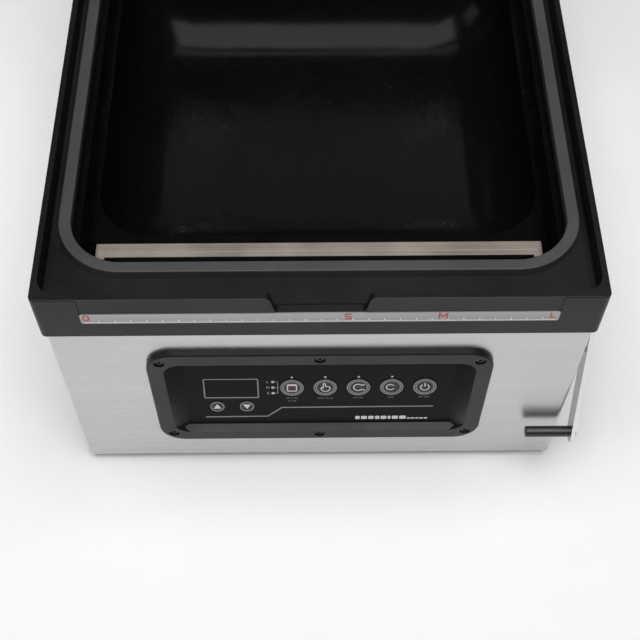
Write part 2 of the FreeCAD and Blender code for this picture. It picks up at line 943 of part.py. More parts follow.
def heating_wires():
    half = bar_length / 2 - 2
    wires = []
    for y in (bar_y - wire_spacing / 2, bar_y + wire_spacing / 2):
        wires.append(box(-half, half, y - wire_width / 2, y + wire_width / 2,
                         bar_top, bar_top + wire_thickness))
    return wires


def seal_bar_tape():
    half = bar_length / 2
    inner_top = bar_top + wire_thickness
    skin = box(-half, half, bar_front - tape_thickness, bar_rear + tape_thickness,
               bar_top - tape_skirt, inner_top + tape_thickness)
    bar = box(-half, half, bar_front, bar_rear, bar_z, bar_top)
    tapes = box(-half, half, bar_front + 3, bar_rear - 3, bar_z, inner_top)
    return skin.cut(bar).cut(tapes)


# ---- Lid, drawn shut and opened about its hinge ----

def opened(shape):
    return turned(shape, V(0, hinge_y, hinge_z), X_AXIS, -lid_open_angle)


def lid_bolt_places():
    for x in (-hinge_spacing / 2, hinge_spacing / 2):
        for row in range(2):
            yield x, lid_rear - strap_length + lid_bolt_first + row * lid_bolt_pitch


def backing_bolt_places():
    for share in (-0.4, 0.0, 0.4):
        yield share * backing_length, bar_y


def lid_panel():
    slab = rounded_block(-lid_x, lid_x, lid_front, lid_rear, lid_under, lid_top, lid_corner_radius)
    middle_z = (lid_top + lid_under) / 2
    rims = edges_where(slab, lambda e: abs(middle(e).z - middle_z) > lid_thickness / 2 - 0.01)
    slab = slab.makeFillet(lid_edge_round, rims)
    length = lid_thickness + 2
    holes = [rod(lid_bolt_radius, length, V(x, y, lid_under - 1)) for x, y in lid_bolt_places()]
    holes += [rod(screw_radius, 6.0, V(x, y, lid_under - 1)) for x, y in backing_bolt_places()]
    return opened(holed(slab, holes))


def lid_hinge_arms():
    arms = []
    centre_y, centre_z = hinge_y, hinge_z
    for x in (-hinge_spacing / 2, hinge_spacing / 2):
        left = x - strap_width / 2
        low_y = lid_rear - strap_length
        strap = rounded_block(left, left + strap_width, low_y, centre_y,
                              lid_top, lid_top + strap_thickness, strap_radius)
        strap = strap.cut(box(left - 1, left + strap_width + 1,
                              centre_y - hinge_barrel_radius - 3, centre_y + 1,
                              lid_top - 1, lid_top + strap_thickness + 1))
        barrel = rod(hinge_barrel_radius, strap_width, V(left, centre_y, centre_z), X_AXIS)
        bend = centre_y - hinge_barrel_radius - 3
        neck = polygon_prism([V(left, bend, lid_top), V(left, centre_y, centre_z - hinge_barrel_radius),
                              V(left, centre_y, centre_z), V(left, bend, lid_top + strap_thickness)],
                             V(strap_width, 0, 0))
        base_gap = hinge_z - hinge_barrel_radius - rim_z - bracket_plate
        heel_low = centre_z - hinge_barrel_radius - base_gap + 0.2
        heel = box(left + 4, left + strap_width - 4, centre_y, centre_y + strap_heel_length,
                   heel_low, heel_low + strap_heel_thickness)
        heel = turned(heel, V(0, hinge_y, hinge_z), X_AXIS, lid_open_angle)
        bore = rod(hinge_pin_radius + hinge_pin_clearance, strap_width + 2,
                   V(left - 1, centre_y, centre_z), X_AXIS)
        holes = [rod(lid_bolt_radius, 9.0, V(bx, by, lid_top - 2)) for bx, by in lid_bolt_places()]
        arms.append(opened(holed(joined([strap, neck, barrel, heel]), [bore] + holes)))
    return arms


def lid_screws():
    solids = []
    for x, y in lid_bolt_places():
        top = lid_top + strap_thickness
        head = rod(lid_bolt_head_radius, lid_bolt_head_height, V(x, y, top))
        crown = edges_where(head, lambda e: abs(middle(e).z - top - lid_bolt_head_height) < 0.01)
        head = head.makeFillet(1.2, crown)
        shank = rod(lid_bolt_radius, top - lid_under + lid_nut_height, V(x, y, lid_under - lid_nut_height))
        nut = rod(lid_bolt_head_radius, lid_nut_height, V(x, y, lid_under - lid_nut_height))
        solids.append(opened(joined([shank, head, nut])))
    low = lid_under - backing_height + backing_slot_depth
    for x, y in backing_bolt_places():
        solids.append(opened(rod(screw_radius, backing_height + 1, V(x, y, low))))
    return solids


def lid_backing_bar():
    half = backing_length / 2
    low = lid_under - backing_height
    bar = box(-half, half, bar_y - backing_width / 2, bar_y + backing_width / 2, low, lid_under)
    slot = box(-half - 1, half + 1, bar_y - silicone_width / 4, bar_y + silicone_width / 4, low - 1,
               low + backing_slot_depth)
    holes = [rod(screw_radius, 20.0, V(x, y, low - 1)) for x, y in backing_bolt_places()]
    return opened(holed(bar, [slot] + holes))


def lid_silicone_strip():
    half = backing_length / 2
    low = lid_under - backing_height
    side = silicone_width / 2
    pad = box(-half, half, bar_y - side, bar_y + side, low - silicone_height, low)
    rounded = edges_where(pad, lambda e: is_along(e, X_AXIS) and middle(e).z < low - 1)
    pad = pad.makeFillet(1.5, rounded)
    tongue = box(-half, half, bar_y - silicone_width / 4, bar_y + silicone_width / 4, low,
                 low + backing_slot_depth - 0.1)
    return opened(joined([pad, tongue]))


# ---- Lid hinge, fixed half ----

def hinge_screw_places():
    for x in (-hinge_spacing / 2, hinge_spacing / 2):
        for step in (-7.0, 7.0):
            yield x + step, hinge_y + bracket_reach - 5.0


def hinge_brackets():
    brackets = []
    for x in (-hinge_spacing / 2, hinge_spacing / 2):
        half = strap_width / 2 + ear_gap
        outer = half + ear_thickness
        plate = rounded_block(x - outer, x + outer, hinge_y, hinge_y + bracket_reach,
                              rim_z, rim_z + bracket_plate, bracket_radius)
        parts = [plate]
        for left in (x - outer, x + half):
            parts.append(rod(ear_radius, ear_thickness, V(left, hinge_y, hinge_z), X_AXIS))
            parts.append(box(left, left + ear_thickness,
                             hinge_y - ear_radius, hinge_y + ear_radius, rim_z, hinge_z))
        pin = rod(hinge_pin_radius, 2 * outer + 2, V(x - outer - 1, hinge_y, hinge_z), X_AXIS)
        holes = [rod(screw_radius, 9.0, V(sx, sy, rim_z - 1)) for sx, sy in hinge_screw_places()]
        brackets.append(holed(joined(parts), [pin] + holes))
    return brackets


def hinge_pins():
    pins = []
    for x in (-hinge_spacing / 2, hinge_spacing / 2):
        outer = strap_width / 2 + ear_gap + ear_thickness
        pin = rod(hinge_pin_radius, 2 * outer, V(x - outer, hinge_y, hinge_z), X_AXIS)
        heads = [rod(hinge_pin_head_radius, 1.6, V(x - outer - 1.6, hinge_y, hinge_z), X_AXIS),
                 rod(hinge_pin_head_radius, 1.6, V(x + outer, hinge_y, hinge_z), X_AXIS)]
        pins.append(joined([pin] + heads))
    return pins


def hinge_screws():
    return [screw(V(x, y, rim_z + bracket_plate), V(0, 0, -1)) for x, y in hinge_screw_places()]


def lid_sensor():
    y = mouth_rear + chamber_flange + seam
    half = sensor_length / 2
    return box(-half, half, y, y + sensor_width, ledge_under - sensor_height, ledge_under)


# ---- Control panel ----

def panel_cutout(grow, low, high, radius):
    half = opening_width / 2 + grow
    bottom = body_z + opening_bottom - grow
    top = body_z + opening_bottom + opening_height + grow
    return on_front(rounded_block(-half, half, bottom, top, low, high, radius))


def bezel_screw_places():
    for x in (-bezel_screw_x, bezel_screw_x):
        yield x, body_z + bezel_screw_top
        yield x, body_z + bezel_screw_bottom
    yield 0.0, body_z + bezel_screw_mid_top
    yield 0.0, body_z + bezel_screw_mid_bottom


def bezel_screw_holes(radius, low, high):
    return [on_front(rod(radius, high - low, V(x, z, low))) for x, z in bezel_screw_places()]


def behind_panel():
    reach = 2 * body_width
    return on_panel(box(-reach, reach, -reach, reach, -reach, 0))


def recess_cheeks():
    """Side walls that lean in from the opening's edge to the control plate, and the sloping sill."""
    half = opening_width / 2
    face_y = front_y - bezel_proud
    low = body_z + opening_bottom
    back = half + tub_wall / 2
    sections = []
    for z in (low - 1, low + opening_height + 1):
        plate_y = panel_y + (z - panel_z) * math.tan(math.radians(panel_tilt))
        inner = [V(half, face_y, z), V(half - cheek_lean, plate_y, z)]
        corners = inner + [V(back, plate_y, z), V(back, face_y, z)]
        sections.append(Part.makePolygon(corners + [corners[0]]))
    cheek = Part.makeLoft(sections, True, True)
    sill = polygon_prism([V(-half, face_y, low), V(-half, panel_y, panel_z), V(-half, panel_y, low - 1),
                          V(-half, face_y, low - 1)], V(2 * half, 0, 0))
    return [cheek, mirrored(cheek), sill]


def control_bezel():
    half = bezel_width / 2
    low = body_z + bezel_bottom
    plate = rounded_block(-half, half, low, low + bezel_height, 0, bezel_proud, bezel_radius)
    front = edges_where(plate, lambda e: abs(middle(e).z - bezel_proud) < 0.01)
    plate = on_front(plate.makeChamfer(bezel_chamfer, front))
    tub = panel_cutout(tub_wall, -body_depth / 4, 1.0, opening_radius + tub_wall).cut(behind_panel())
    body = plate.fuse(tub).removeSplitter()
    tools = [panel_cutout(0, -body_depth / 3, bezel_proud + 1, opening_radius)]
    tools += bezel_screw_holes(screw_radius, -2.0, bezel_proud + 1)
    tools += bezel_screw_holes(bezel_bore_radius, bezel_proud - bezel_bore_depth, bezel_proud + 1)
    inside = panel_cutout(tub_wall / 2, -body_depth / 4, bezel_proud, opening_radius + tub_wall / 2)
    inside = inside.cut(behind_panel())
    return joined([holed(body, tools)] + [piece.common(inside) for piece in recess_cheeks()])


def bezel_screws():
    seat = bezel_proud - bezel_bore_depth
    return [on_front(screw(V(x, z, seat), V(0, 0, -1))) for x, z in bezel_screw_places()]


def big_key_places():
    return [(key_first_x + index * key_pitch, key_rise, key_radius) for index in range(key_count)]


def small_key_places():
    return [(x, small_key_rise, small_key_radius) for x in small_key_x]


def lamp_places():
    lamps = [(size_lamp_x, rise, lamp_radius) for rise in size_lamp_rise]
    return lamps + [(x, key_lamp_rise, lamp_dot_radius) for x, rise, radius in big_key_places()[:-1]]


def plate_span():
    slope = math.cos(math.radians(panel_tilt))
    low = (body_z + opening_bottom - tub_wall - panel_z) / slope
    high = (body_z + opening_bottom + opening_height + tub_wall - panel_z) / slope
    return low, high


def control_plate():
    half = opening_width / 2 + tub_wall
    low, high = plate_span()
    plate = box(-half, half, low, high, -panel_thickness, 0)
    keys = big_key_places() + small_key_places()
    cuts = [rod(radius + key_gap, 9.0, V(x, rise, -5)) for x, rise, radius in keys]
    cuts += [rod(radius, 9.0, V(x, rise, -5)) for x, rise, radius in lamp_places()]
    cuts.append(window_block(-5, 5))
    sill = panel_cutout(tub_wall, -body_depth / 4, 0.0, opening_radius + tub_wall)
    face = on_panel(holed(plate, cuts)).common(sill)
    return joined([face] + board_bosses())


def window_block(low, high):
    half_x, half_y = window_width / 2, window_height / 2
    return box(window_x - half_x, window_x + half_x,
               window_rise - half_y, window_rise + half_y, low, high)


def display_window():
    return on_panel(window_block(-window_thickness, 0.2))


def indicator_lights():
    return [on_panel(rod(radius, lamp_length, V(x, rise, lamp_proud - lamp_length)))
            for x, rise, radius in lamp_places()]


def board_front():
    return -panel_thickness - board_gap


def board_span():
    low, high = plate_span()
    half = opening_width / 2 - board_margin
    return -half, half, low + board_margin, high - board_margin


def control_board():
    x0, x1, low, high = board_span()
    back = board_front() - board_thickness
    pegs = [rod(boss_peg_radius, board_thickness, V(x, y, back)) for x, y in board_posts()]
    half_x, half_y = window_width / 2 - 3, window_height / 2 - 2
    digits = box(window_x - half_x, window_x + half_x, window_rise - half_y, window_rise + half_y,
                 board_front(), -window_thickness - key_gap)
    return on_panel(holed(box(x0, x1, low, high, back, board_front()), pegs).fuse(digits))


def board_posts():
    x0, x1, low, high = board_span()
    for x in (x0 + 5, x1 - 5):
        for y in (low + 5, high - 5):
            yield x, y


def board_bosses():
    """Moulded pillars behind the plate whose pegs hold the board."""
    bosses = []
    for x, y in board_posts():
        pillar = rod(boss_radius, board_gap, V(x, y, board_front()))
        peg = rod(boss_peg_radius, board_thickness + 1.5, V(x, y, board_front() - board_thickness - 1.5))
        bosses.append(on_panel(pillar.fuse(peg)))
    return bosses


def stem_tip():
    return board_front() + switch_height + plunger_height + key_travel + stem_play


def key_switches():
    solids = []
    half = switch_size / 2
    for x, rise, radius in big_key_places() + small_key_places():
        low = board_front()
        can = box(x - half, x + half, rise - half, rise + half, low, low + switch_height)
        plunger = rod(plunger_radius, plunger_height, V(x, rise, low + switch_height))
        solids.append(on_panel(can.fuse(plunger)))
    return solids


def key(place):
    x, rise, radius = place
    cap = rod(radius, panel_thickness + key_gap + key_proud, V(x, rise, -panel_thickness - key_gap))
    crown = edges_where(cap, lambda e: abs(middle(e).z - key_proud) < 0.01)
    cap = cap.makeFillet(key_proud * 0.6, crown)
    flange = rod(radius + key_flange, key_flange_thickness,
                 V(x, rise, -panel_thickness - key_gap - key_flange_thickness))
    stem = rod(stem_radius, -panel_thickness - key_gap - stem_tip(), V(x, rise, stem_tip()))
    return on_panel(joined([cap, flange, stem]))


# ---- Side arm ----

def arm_point(along, behind):
    """Place on the arm at rest, measured from its pivot down the arm and square to it."""
    angle = math.radians(arm_angle)
    y = front_y + arm_pivot_y - along * math.sin(angle) + behind * math.cos(angle)
    z = body_z + arm_pivot_z - along * math.cos(angle) - behind * math.sin(angle)
    return V(half_width, y, z)


def arm_pivot_hole():
    pivot = arm_point(0, 0)
    return rod(arm_pivot_radius, 12.0, V(half_width - 8, pivot.y, pivot.z), X_AXIS)


def arm_strip():
    half = arm_width / 2
    flat = rounded_block(-half, half, -arm_length - arm_end_reach, half, 0, arm_thickness, half - 0.5)
    rims = edges_where(flat, lambda e: middle(e).z > arm_thickness - 0.01 or middle(e).z < 0.01)
    flat = flat.makeFillet(0.4, rims)
    strip = turned(flat, V(0, 0, 0), Y_AXIS, 90)
    strip = turned(strip, V(0, 0, 0), X_AXIS, 90)
    strip = turned(strip, V(0, 0, 0), X_AXIS, -arm_angle)
    pivot = arm_point(0, 0)
    strip = moved(strip, half_width + arm_gap, pivot.y, pivot.z)
    tip = arm_point(arm_length, 0)
    bore = rod(arm_pivot_radius + arm_pivot_clearance, 20.0, V(half_width - 5, pivot.y, pivot.z), X_AXIS)
    seat = rod(rivet_radius, 20.0, V(half_width - 5, tip.y, tip.z), X_AXIS)
    return holed(strip, [bore, seat])


def arm_grip():
    """Round bar whose thinner end passes through the strip and is riveted over."""
    tip = arm_point(arm_length, 0)
    inner = half_width + arm_gap
    outer = inner + arm_thickness
    bar = rod(grip_radius, grip_length, V(inner, tip.y, tip.z), V(-1, 0, 0))
    ends = edges_where(bar, lambda e: e.Curve.TypeId == "Part::GeomCircle" and middle(e).x < inner - 1)
    bar = bar.makeFillet(grip_end_round, ends)
    neck = rod(rivet_radius, arm_thickness, V(inner, tip.y, tip.z), X_AXIS)
    head = rod(rivet_head_radius, rivet_head_height, V(outer, tip.y, tip.z), X_AXIS)
    crown = edges_where(head, lambda e: middle(e).x > outer + rivet_head_height - 0.01)
    return joined([bar, neck, head.makeFillet(rivet_head_height / 2, crown)])


def arm_pivot_bolt():
    """Shoulder bolt; its collar keeps the strip off the cabinet."""
    pivot = arm_point(0, 0)
    outer = half_width + arm_gap + arm_thickness + arm_play
    head = rod(arm_head_radius, arm_head_height, V(outer, pivot.y, pivot.z), X_AXIS)
    crown = edges_where(head, lambda e: middle(e).x > outer + arm_head_height - 0.01)
    reach = outer - inner_x + arm_nut_height
    shank = rod(arm_pivot_radius, reach, V(outer, pivot.y, pivot.z), V(-1, 0, 0))
    nut = rod(arm_head_radius - 0.5, arm_nut_height, V(inner_x, pivot.y, pivot.z), V(-1, 0, 0))
    collar = rod(arm_head_radius, arm_gap - arm_play, V(half_width, pivot.y, pivot.z), X_AXIS)
    return joined([head.makeFillet(arm_head_height / 2, crown), shank, nut, collar])


def stop_pin():
    place = arm_point(stop_pin_along, arm_width / 2 + stop_pin_gap + stop_pin_radius)
    length = arm_gap + arm_thickness + stop_pin_root
    return rod(stop_pin_radius, length, V(half_width - stop_pin_root, place.y, place.z), X_AXIS)


# ---- Vacuum pump ----

def pump_motor():
    """Finned shell with its wound core; the two end bores carry the shaft."""
    left = -pump_length / 2
    shell = rod(pump_radius, pump_length, V(left, pump_y, pump_z), X_AXIS)
    hollow = rod(pump_radius - pump_wall, pump_length - 2 * bearing_width,
                 V(left + bearing_width, pump_y, pump_z), X_AXIS)
    core = tube(pump_radius - pump_wall, stator_bore_radius, rotor_length,
                V(-rotor_length / 2, pump_y, pump_z), X_AXIS)
    fins = []
    run = pump_length - 2 * fin_margin
    for index in range(fin_count):
        x = left + fin_margin + index * run / (fin_count - 1)
        fins.append(tube(pump_radius + fin_height, pump_radius, fin_thickness,
                         V(x - fin_thickness / 2, pump_y, pump_z), X_AXIS))
    bore = rod(shaft_radius + shaft_clearance, pump_length + 2, V(left - 1, pump_y, pump_z), X_AXIS)
    return joined([shell.cut(hollow), core] + fins).cut(bore)


def pump_rotor():
    length = rotor_length
    core = rod(rotor_radius, length, V(-length / 2, pump_y, pump_z), X_AXIS)
    shaft_half = pump_length / 2 + crank_gap + crank_width
    shaft = rod(shaft_radius, 2 * shaft_half, V(-shaft_half, pump_y, pump_z), X_AXIS)
    cranks = []
    for side in (-1, 1):
        start = side * (pump_length / 2 + crank_gap)
        cranks.append(rod(crank_radius, crank_width,
                          V(start, pump_y + side * crank_offset, pump_z), V(side, 0, 0)))
    return joined([core, shaft] + cranks)


def pump_heads():
    heads = []
    start = pump_length / 2
    y0, y1 = pump_y - head_depth / 2, pump_y + head_depth / 2
    z0 = pump_z - head_height / 2
    for side in (-1, 1):
        low, high = sorted((side * start, side * (start + head_width)))
        block = rounded_block(low, high, y0, y1, z0, z0 + head_height, head_radius)
        room = rod(crank_radius + crank_offset + 3, crank_width + 4, V(side * (start + 3), pump_y, pump_z),
                   V(side, 0, 0))
        bore = rod(shaft_radius + 1, 5, V(side * (start - 1), pump_y, pump_z), V(side, 0, 0))
        grooves = []
        for rise in head_groove_rises:
            z = z0 + rise
            top = z + head_groove_width
            grooves.append(box(low - 1, high + 1, y0 - 1, y0 + head_groove_depth, z, top))
            grooves.append(box(low - 1, high + 1, y1 - head_groove_depth, y1 + 1, z, top))
        heads.append(holed(block, [room, bore] + grooves))
    return heads


def pump_mounts():
    solids = []
    mount_reach = head_depth / 2 - rubber_mount_inset
    for x in (-pump_length / 2 - head_width / 2, pump_length / 2 + head_width / 2):
        for y in (pump_y - mount_reach, pump_y + mount_reach):
            height = pump_z - head_height / 2 - base_top
            solids.append(rod(rubber_mount_radius, height, V(x, y, base_top)))
    return solids


# ---- Rear panel items ----

def centred_rear(x, z, width, height, low, high):
    return on_rear(box(x - width / 2, x + width / 2, z - height / 2, z + height / 2, low, high))


def fan_screw_places():
    reach = fan_size / 2 - 5
    return [(fan_x + sx * reach, fan_z + sz * reach) for sx in (-1, 1) for sz in (-1, 1)]


def fan_back():
    return rear_y - sheet


def fan_frame():
    half = fan_size / 2
    y1 = fan_back()
    y0 = y1 - fan_depth
    block = box(fan_x - half, fan_x + half, y0, y1, fan_z - half, fan_z + half)
    corners = edges_where(block, lambda e: is_along(e, Y_AXIS))
    block = block.makeFillet(5.0, corners)
    duct = rod(fan_bore_radius, fan_depth + 2, V(fan_x, y0 - 1, fan_z), Y_AXIS)
    hub = rod(fan_hub_radius, fan_strut_thickness, V(fan_x, y0, fan_z), Y_AXIS)
    struts = []
    for index in range(3):
        strut = box(fan_x, fan_x + fan_bore_radius + 1, y0, y0 + fan_strut_thickness,
                    fan_z - fan_strut_width / 2, fan_z + fan_strut_width / 2)
        struts.append(turned(strut, V(fan_x, 0, fan_z), Y_AXIS, 120 * index + 30))
    axle = rod(fan_axle_radius, fan_depth - 8, V(fan_x, y0, fan_z), Y_AXIS)
    holes = [rod(screw_radius, fan_depth + 2, V(x, y0 - 1, z), Y_AXIS) for x, z in fan_screw_places()]
    return holed(joined([block.cut(duct), hub, axle] + struts), holes)


def fan_rotor():
    y0 = fan_back() - fan_depth + fan_strut_thickness + fan_hub_clearance
    depth = fan_depth - fan_strut_thickness - 2 * fan_hub_clearance - 1.0
    hub = rod(fan_hub_radius, depth, V(fan_x, y0, fan_z), Y_AXIS)
    hub = hub.cut(rod(fan_axle_radius + fan_axle_clearance, depth - 4, V(fan_x, y0 - 1, fan_z), Y_AXIS))
    blades = []
    for index in range(fan_blades):
        blade = box(fan_hub_radius - 2, fan_tip_radius, -1.0, 1.0, -11.0, 11.0)
        blade = turned(blade, V(0, 0, 0), X_AXIS, 48)
        trim = tube(fan_tip_radius, fan_hub_radius - 3, depth - 2, V(0, -depth / 2 + 1, 0), Y_AXIS)
        blade = moved(blade.common(trim), fan_x, y0 + depth / 2, fan_z)
        blades.append(turned(blade, V(fan_x, 0, fan_z), Y_AXIS, 360 * index / fan_blades))
    return joined([hub] + blades)


def fan_guard():
    y = rear_y + guard_wire
    pitch = (fan_bore_radius - 4) / guard_rings
    parts = []
    for index in range(guard_rings):
        parts.append(Part.makeTorus(pitch * (index + 1) + 4, guard_wire, V(fan_x, y, fan_z), Y_AXIS))
    reach = fan_size / math.sqrt(2) - 7
    for angle in (45, 135):
        bar = rod(guard_wire, 2 * reach, V(fan_x - reach, y + 0.6, fan_z), X_AXIS)
        parts.append(turned(bar, V(fan_x, 0, fan_z), Y_AXIS, angle))
    for x, z in fan_screw_places():
        parts.append(tube(screw_head_radius, screw_radius, guard_tab, V(x, rear_y, z), Y_AXIS))
    ring = joined(parts)
    return holed(ring, [rod(screw_radius, 9, V(x, rear_y - 1, z), Y_AXIS) for x, z in fan_screw_places()])


def fan_screws():
    seat = rear_y + guard_tab
    return [screw(V(x, seat, z), V(0, -1, 0), 12.0) for x, z in fan_screw_places()]


def inlet_screw_places():
    reach = inlet_flange_x / 2 - 5
    return [(inlet_x - reach, inlet_z), (inlet_x + reach, inlet_z)]


def power_inlet():
    half_x, half_z = inlet_flange_x / 2, inlet_flange_z / 2
    flange = on_rear(rounded_block(inlet_x - half_x, inlet_x + half_x, inlet_z - half_z, inlet_z + half_z,
                                   0, inlet_flange_thickness, inlet_flange_radius))
    body = centred_rear(inlet_x, inlet_z, inlet_width, inlet_height, -inlet_depth, 1.0)
    wall = 2 * inlet_wall
    socket = centred_rear(inlet_x, inlet_z, inlet_width - wall, inlet_height - wall,
                          -inlet_socket_depth, 4.0)
    holes = [rod(screw_radius, 9, V(x, rear_y - 3, z), Y_AXIS) for x, z in inlet_screw_places()]
    return holed(flange.fuse(body), [socket] + holes)


def inlet_pins():
    pins = []
    for x, z in inlet_pin_places:
        pins.append(centred_rear(inlet_x + x, inlet_z + z, inlet_pin_width, inlet_pin_height,
                                 -inlet_depth - inlet_pin_tail, -inlet_pin_tip))
    return pins


def power_inlet_block():
    return power_inlet().cut(Part.Compound(inlet_pins()))


def inlet_screws():
    seat = rear_y + inlet_flange_thickness
    return [screw(V(x, seat, z), V(0, -1, 0)) for x, z in inlet_screw_places()]


def switch_housing():
    half_x = switch_width / 2 + switch_rim
    half_z = switch_tall / 2 + switch_rim
    rim = on_rear(rounded_block(switch_x - half_x, switch_x + half_x, inlet_z - half_z, inlet_z + half_z,
                                0, switch_rim, switch_rim))
    body = centred_rear(switch_x, inlet_z, switch_width, switch_tall, -switch_body_depth, 1.0)
    well_cut = centred_rear(switch_x, inlet_z, switch_width - 2 * switch_wall,
                            switch_tall - 2 * switch_wall, -switch_well_depth, 4.0)
    axle = rod(rocker_axle_radius + rocker_axle_clearance, switch_width - 1,
               V(switch_x - switch_width / 2 + 0.5, rear_y - rocker_axle_depth, inlet_z), X_AXIS)
    return rim.fuse(body).removeSplitter().cut(well_cut).cut(axle)


def power_rocker():
    half_x = switch_width / 2 - switch_wall - rocker_gap
    reach = switch_tall / 2 - switch_wall - rocker_gap - rocker_swing
    axis_y = rear_y - rocker_axle_depth
    outer_side = [(-reach, rocker_edge), (0, rocker_crest), (reach, rocker_edge)]
    inner_side = [(reach, -rocker_heel), (0, -rocker_root), (-reach, -rocker_heel)]
    points = [V(switch_x - half_x, axis_y + out, inlet_z + rise) for rise, out in outer_side + inner_side]
    body = polygon_prism(points, V(2 * half_x, 0, 0))
    axle = rod(rocker_axle_radius, switch_width - 1.2,
               V(switch_x - switch_width / 2 + 0.6, axis_y, inlet_z), X_AXIS)
    return turned(body.fuse(axle), V(0, axis_y, inlet_z), X_AXIS, rocker_tilt)


def fuse_holder():
    cap = rod(fuse_cap_radius, fuse_cap_height, V(fuse_x, rear_y, inlet_z), Y_AXIS)
    half_x = fuse_radius - 2
    half_z = fuse_slot_width / 2
    top = rear_y + fuse_cap_height
    slot = box(fuse_x - half_x, fuse_x + half_x, top - fuse_slot_depth, top + 1,
               inlet_z - half_z, inlet_z + half_z)
    barrel = rod(fuse_radius, fuse_length, V(fuse_x, rear_y - fuse_length, inlet_z), Y_AXIS)
    return cap.fuse(barrel).cut(slot)


# ---- Inner parts ----

def transformer():
    x, y = transformer_x, transformer_y
    w, d, h = transformer_width, transformer_depth, transformer_height
    core = box(x, x + w, y + d / 4, y + 3 * d / 4, base_top, base_top + h)
    winding = rounded_block(x + w / 5, x + 4 * w / 5, y, y + d, base_top + 8, base_top + h - 8, 5.0)
    return joined([core, winding])


def main_board():
    """Power board on its feet, with relays, capacitors and a finned heat sink."""
    x, y = main_board_x, main_board_y
    low = base_top + standoff_height
    top = low + board_thickness
    places = [(x + dx, y + dy) for dx in (6, main_board_width - 6) for dy in (6, main_board_depth - 6)]
    parts = [box(x, x + main_board_width, y, y + main_board_depth, low, top)]
    parts += [rod(boss_radius, standoff_height, V(px, py, base_top)) for px, py in places]
    for index in range(relay_count):
        left = x + relay_pitch / 2 + index * relay_pitch
        parts.append(box(left, left + relay_width, y + relay_y, y + relay_y + relay_depth,
                         top, top + relay_height))
    for index in range(capacitor_count):
        centre = V(x + (index + 1) * capacitor_pitch, y + capacitor_y, top)
        parts.append(rod(capacitor_radius, capacitor_height, centre))
    front = y + sink_y
    plate_rear = front + sink_plate
    parts.append(box(x + sink_x, x + sink_x + sink_length, front, plate_rear, top, top + sink_height))
    for index in range(sink_fin_count):
        left = x + sink_x + sink_fin + index * sink_fin_pitch
        parts.append(box(left, left + sink_fin, plate_rear - 1, front + sink_depth, top, top + sink_height))
    return joined(parts)


def solenoid_valves():
    solids = []
    for index in range(2):
        x = valve_x + index * valve_pitch
        block_top = base_top + valve_block_height
        block = box(x, x + valve_size, valve_y, valve_y + valve_size, base_top, block_top)
        coil = rod(valve_coil_radius, valve_height - valve_block_height,
                   V(x + valve_size / 2, valve_y + valve_size / 2, block_top))
        solids.append(block.fuse(coil))
    return solids


def vacuum_hoses():
    port_y = well_rear + port_length
    port_z = ledge_under - port_drop
    head_x = pump_length / 2 + head_width / 2
    head_top = pump_z + head_height / 2
    behind = port_y + 24
    suction = [V(port_x, port_y, port_z), V(port_x, port_y + 17, port_z), V(port_x + 2, behind, port_z - 22),
               V(port_x + 6, behind + 2, port_z - 55), V(port_x + 12, behind - 8, port_z - 84),
               V(head_x, behind - 38, port_z - 102), V(head_x, pump_y + head_depth / 2 + 14, head_top - 14),
               V(head_x, pump_y + head_depth / 2, head_top - 14)]
    vent_y = valve_y + valve_port_y
    vent_z = base_top + valve_block_height / 2
    vent = [V(valve_x + valve_size, vent_y, vent_z), V(valve_x + valve_pitch, vent_y, vent_z)]
    return [smooth_tube(suction, hose_radius), smooth_tube(vent, hose_radius)]


def case_screws():
    return foot_screws() + panel_screws() + frame_screws() + hinge_screws() + fan_screws() + inlet_screws()


sub_parts = {
    "base_plate": base_plate, "feet": feet, "case_screws": case_screws, "front_panel": front_panel,
    "side_panel_right": side_panel, "side_panel_left": lambda: mirrored(side_panel()),
    "rear_panel": rear_panel, "corner_posts": corner_posts,
    "top_frame": top_frame, "measuring_strip": measuring_strip,
    "chamber_gasket": chamber_gasket, "chamber_liner": chamber_liner, "vacuum_port": vacuum_port,
    "seal_bar_cylinders": seal_bar_cylinders, "seal_bar_body": seal_bar_body, "seal_bar_pins": seal_bar_pins,
    "heating_wires": heating_wires, "seal_bar_tape": seal_bar_tape,
    "lid_panel": lid_panel, "lid_hinge_arms": lid_hinge_arms, "lid_screws": lid_screws,
    "lid_backing_bar": lid_backing_bar, "lid_silicone_strip": lid_silicone_strip,
    "hinge_brackets": hinge_brackets, "hinge_pins": hinge_pins, "lid_sensor": lid_sensor,
    "control_bezel": control_bezel, "bezel_screws": bezel_screws, "control_plate": control_plate,
    "display_window": display_window, "indicator_lights": indicator_lights,
    "control_board": control_board, "key_switches": key_switches,
    "arm_strip": arm_strip, "arm_grip": arm_grip, "arm_pivot_bolt": arm_pivot_bolt, "arm_stop_pin": stop_pin,
    "pump_motor": pump_motor, "pump_rotor": pump_rotor, "pump_heads": pump_heads, "pump_mounts": pump_mounts,
    "fan_frame": fan_frame, "fan_rotor": fan_rotor, "fan_guard": fan_guard,
    "power_inlet": power_inlet_block, "inlet_pins": inlet_pins, "switch_housing": switch_housing,
    "power_rocker": power_rocker, "fuse_holder": fuse_holder, "main_board": main_board,
    "transformer": transformer, "solenoid_valves": solenoid_valves, "vacuum_hoses": vacuum_hoses,
}
big_key_names = ("key_reseal", "key_cushion", "key_marinate", "key_seal", "key_power")
small_key_names = ("key_up", "key_down")


def write(name, solids):
    shape = Part.Compound(solids) if isinstance(solids, list) else solids
    shape.exportStep("parts/" + name + ".step")


os.makedirs("parts", exist_ok=True)
for part_name, make in sub_parts.items():
    write(part_name, make())
for part_name, place in zip(big_key_names + small_key_names, big_key_places() + small_key_places()):
    write(part_name, key(place))
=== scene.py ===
import math

import bmesh
import bpy
from mathutils import Matrix, Vector


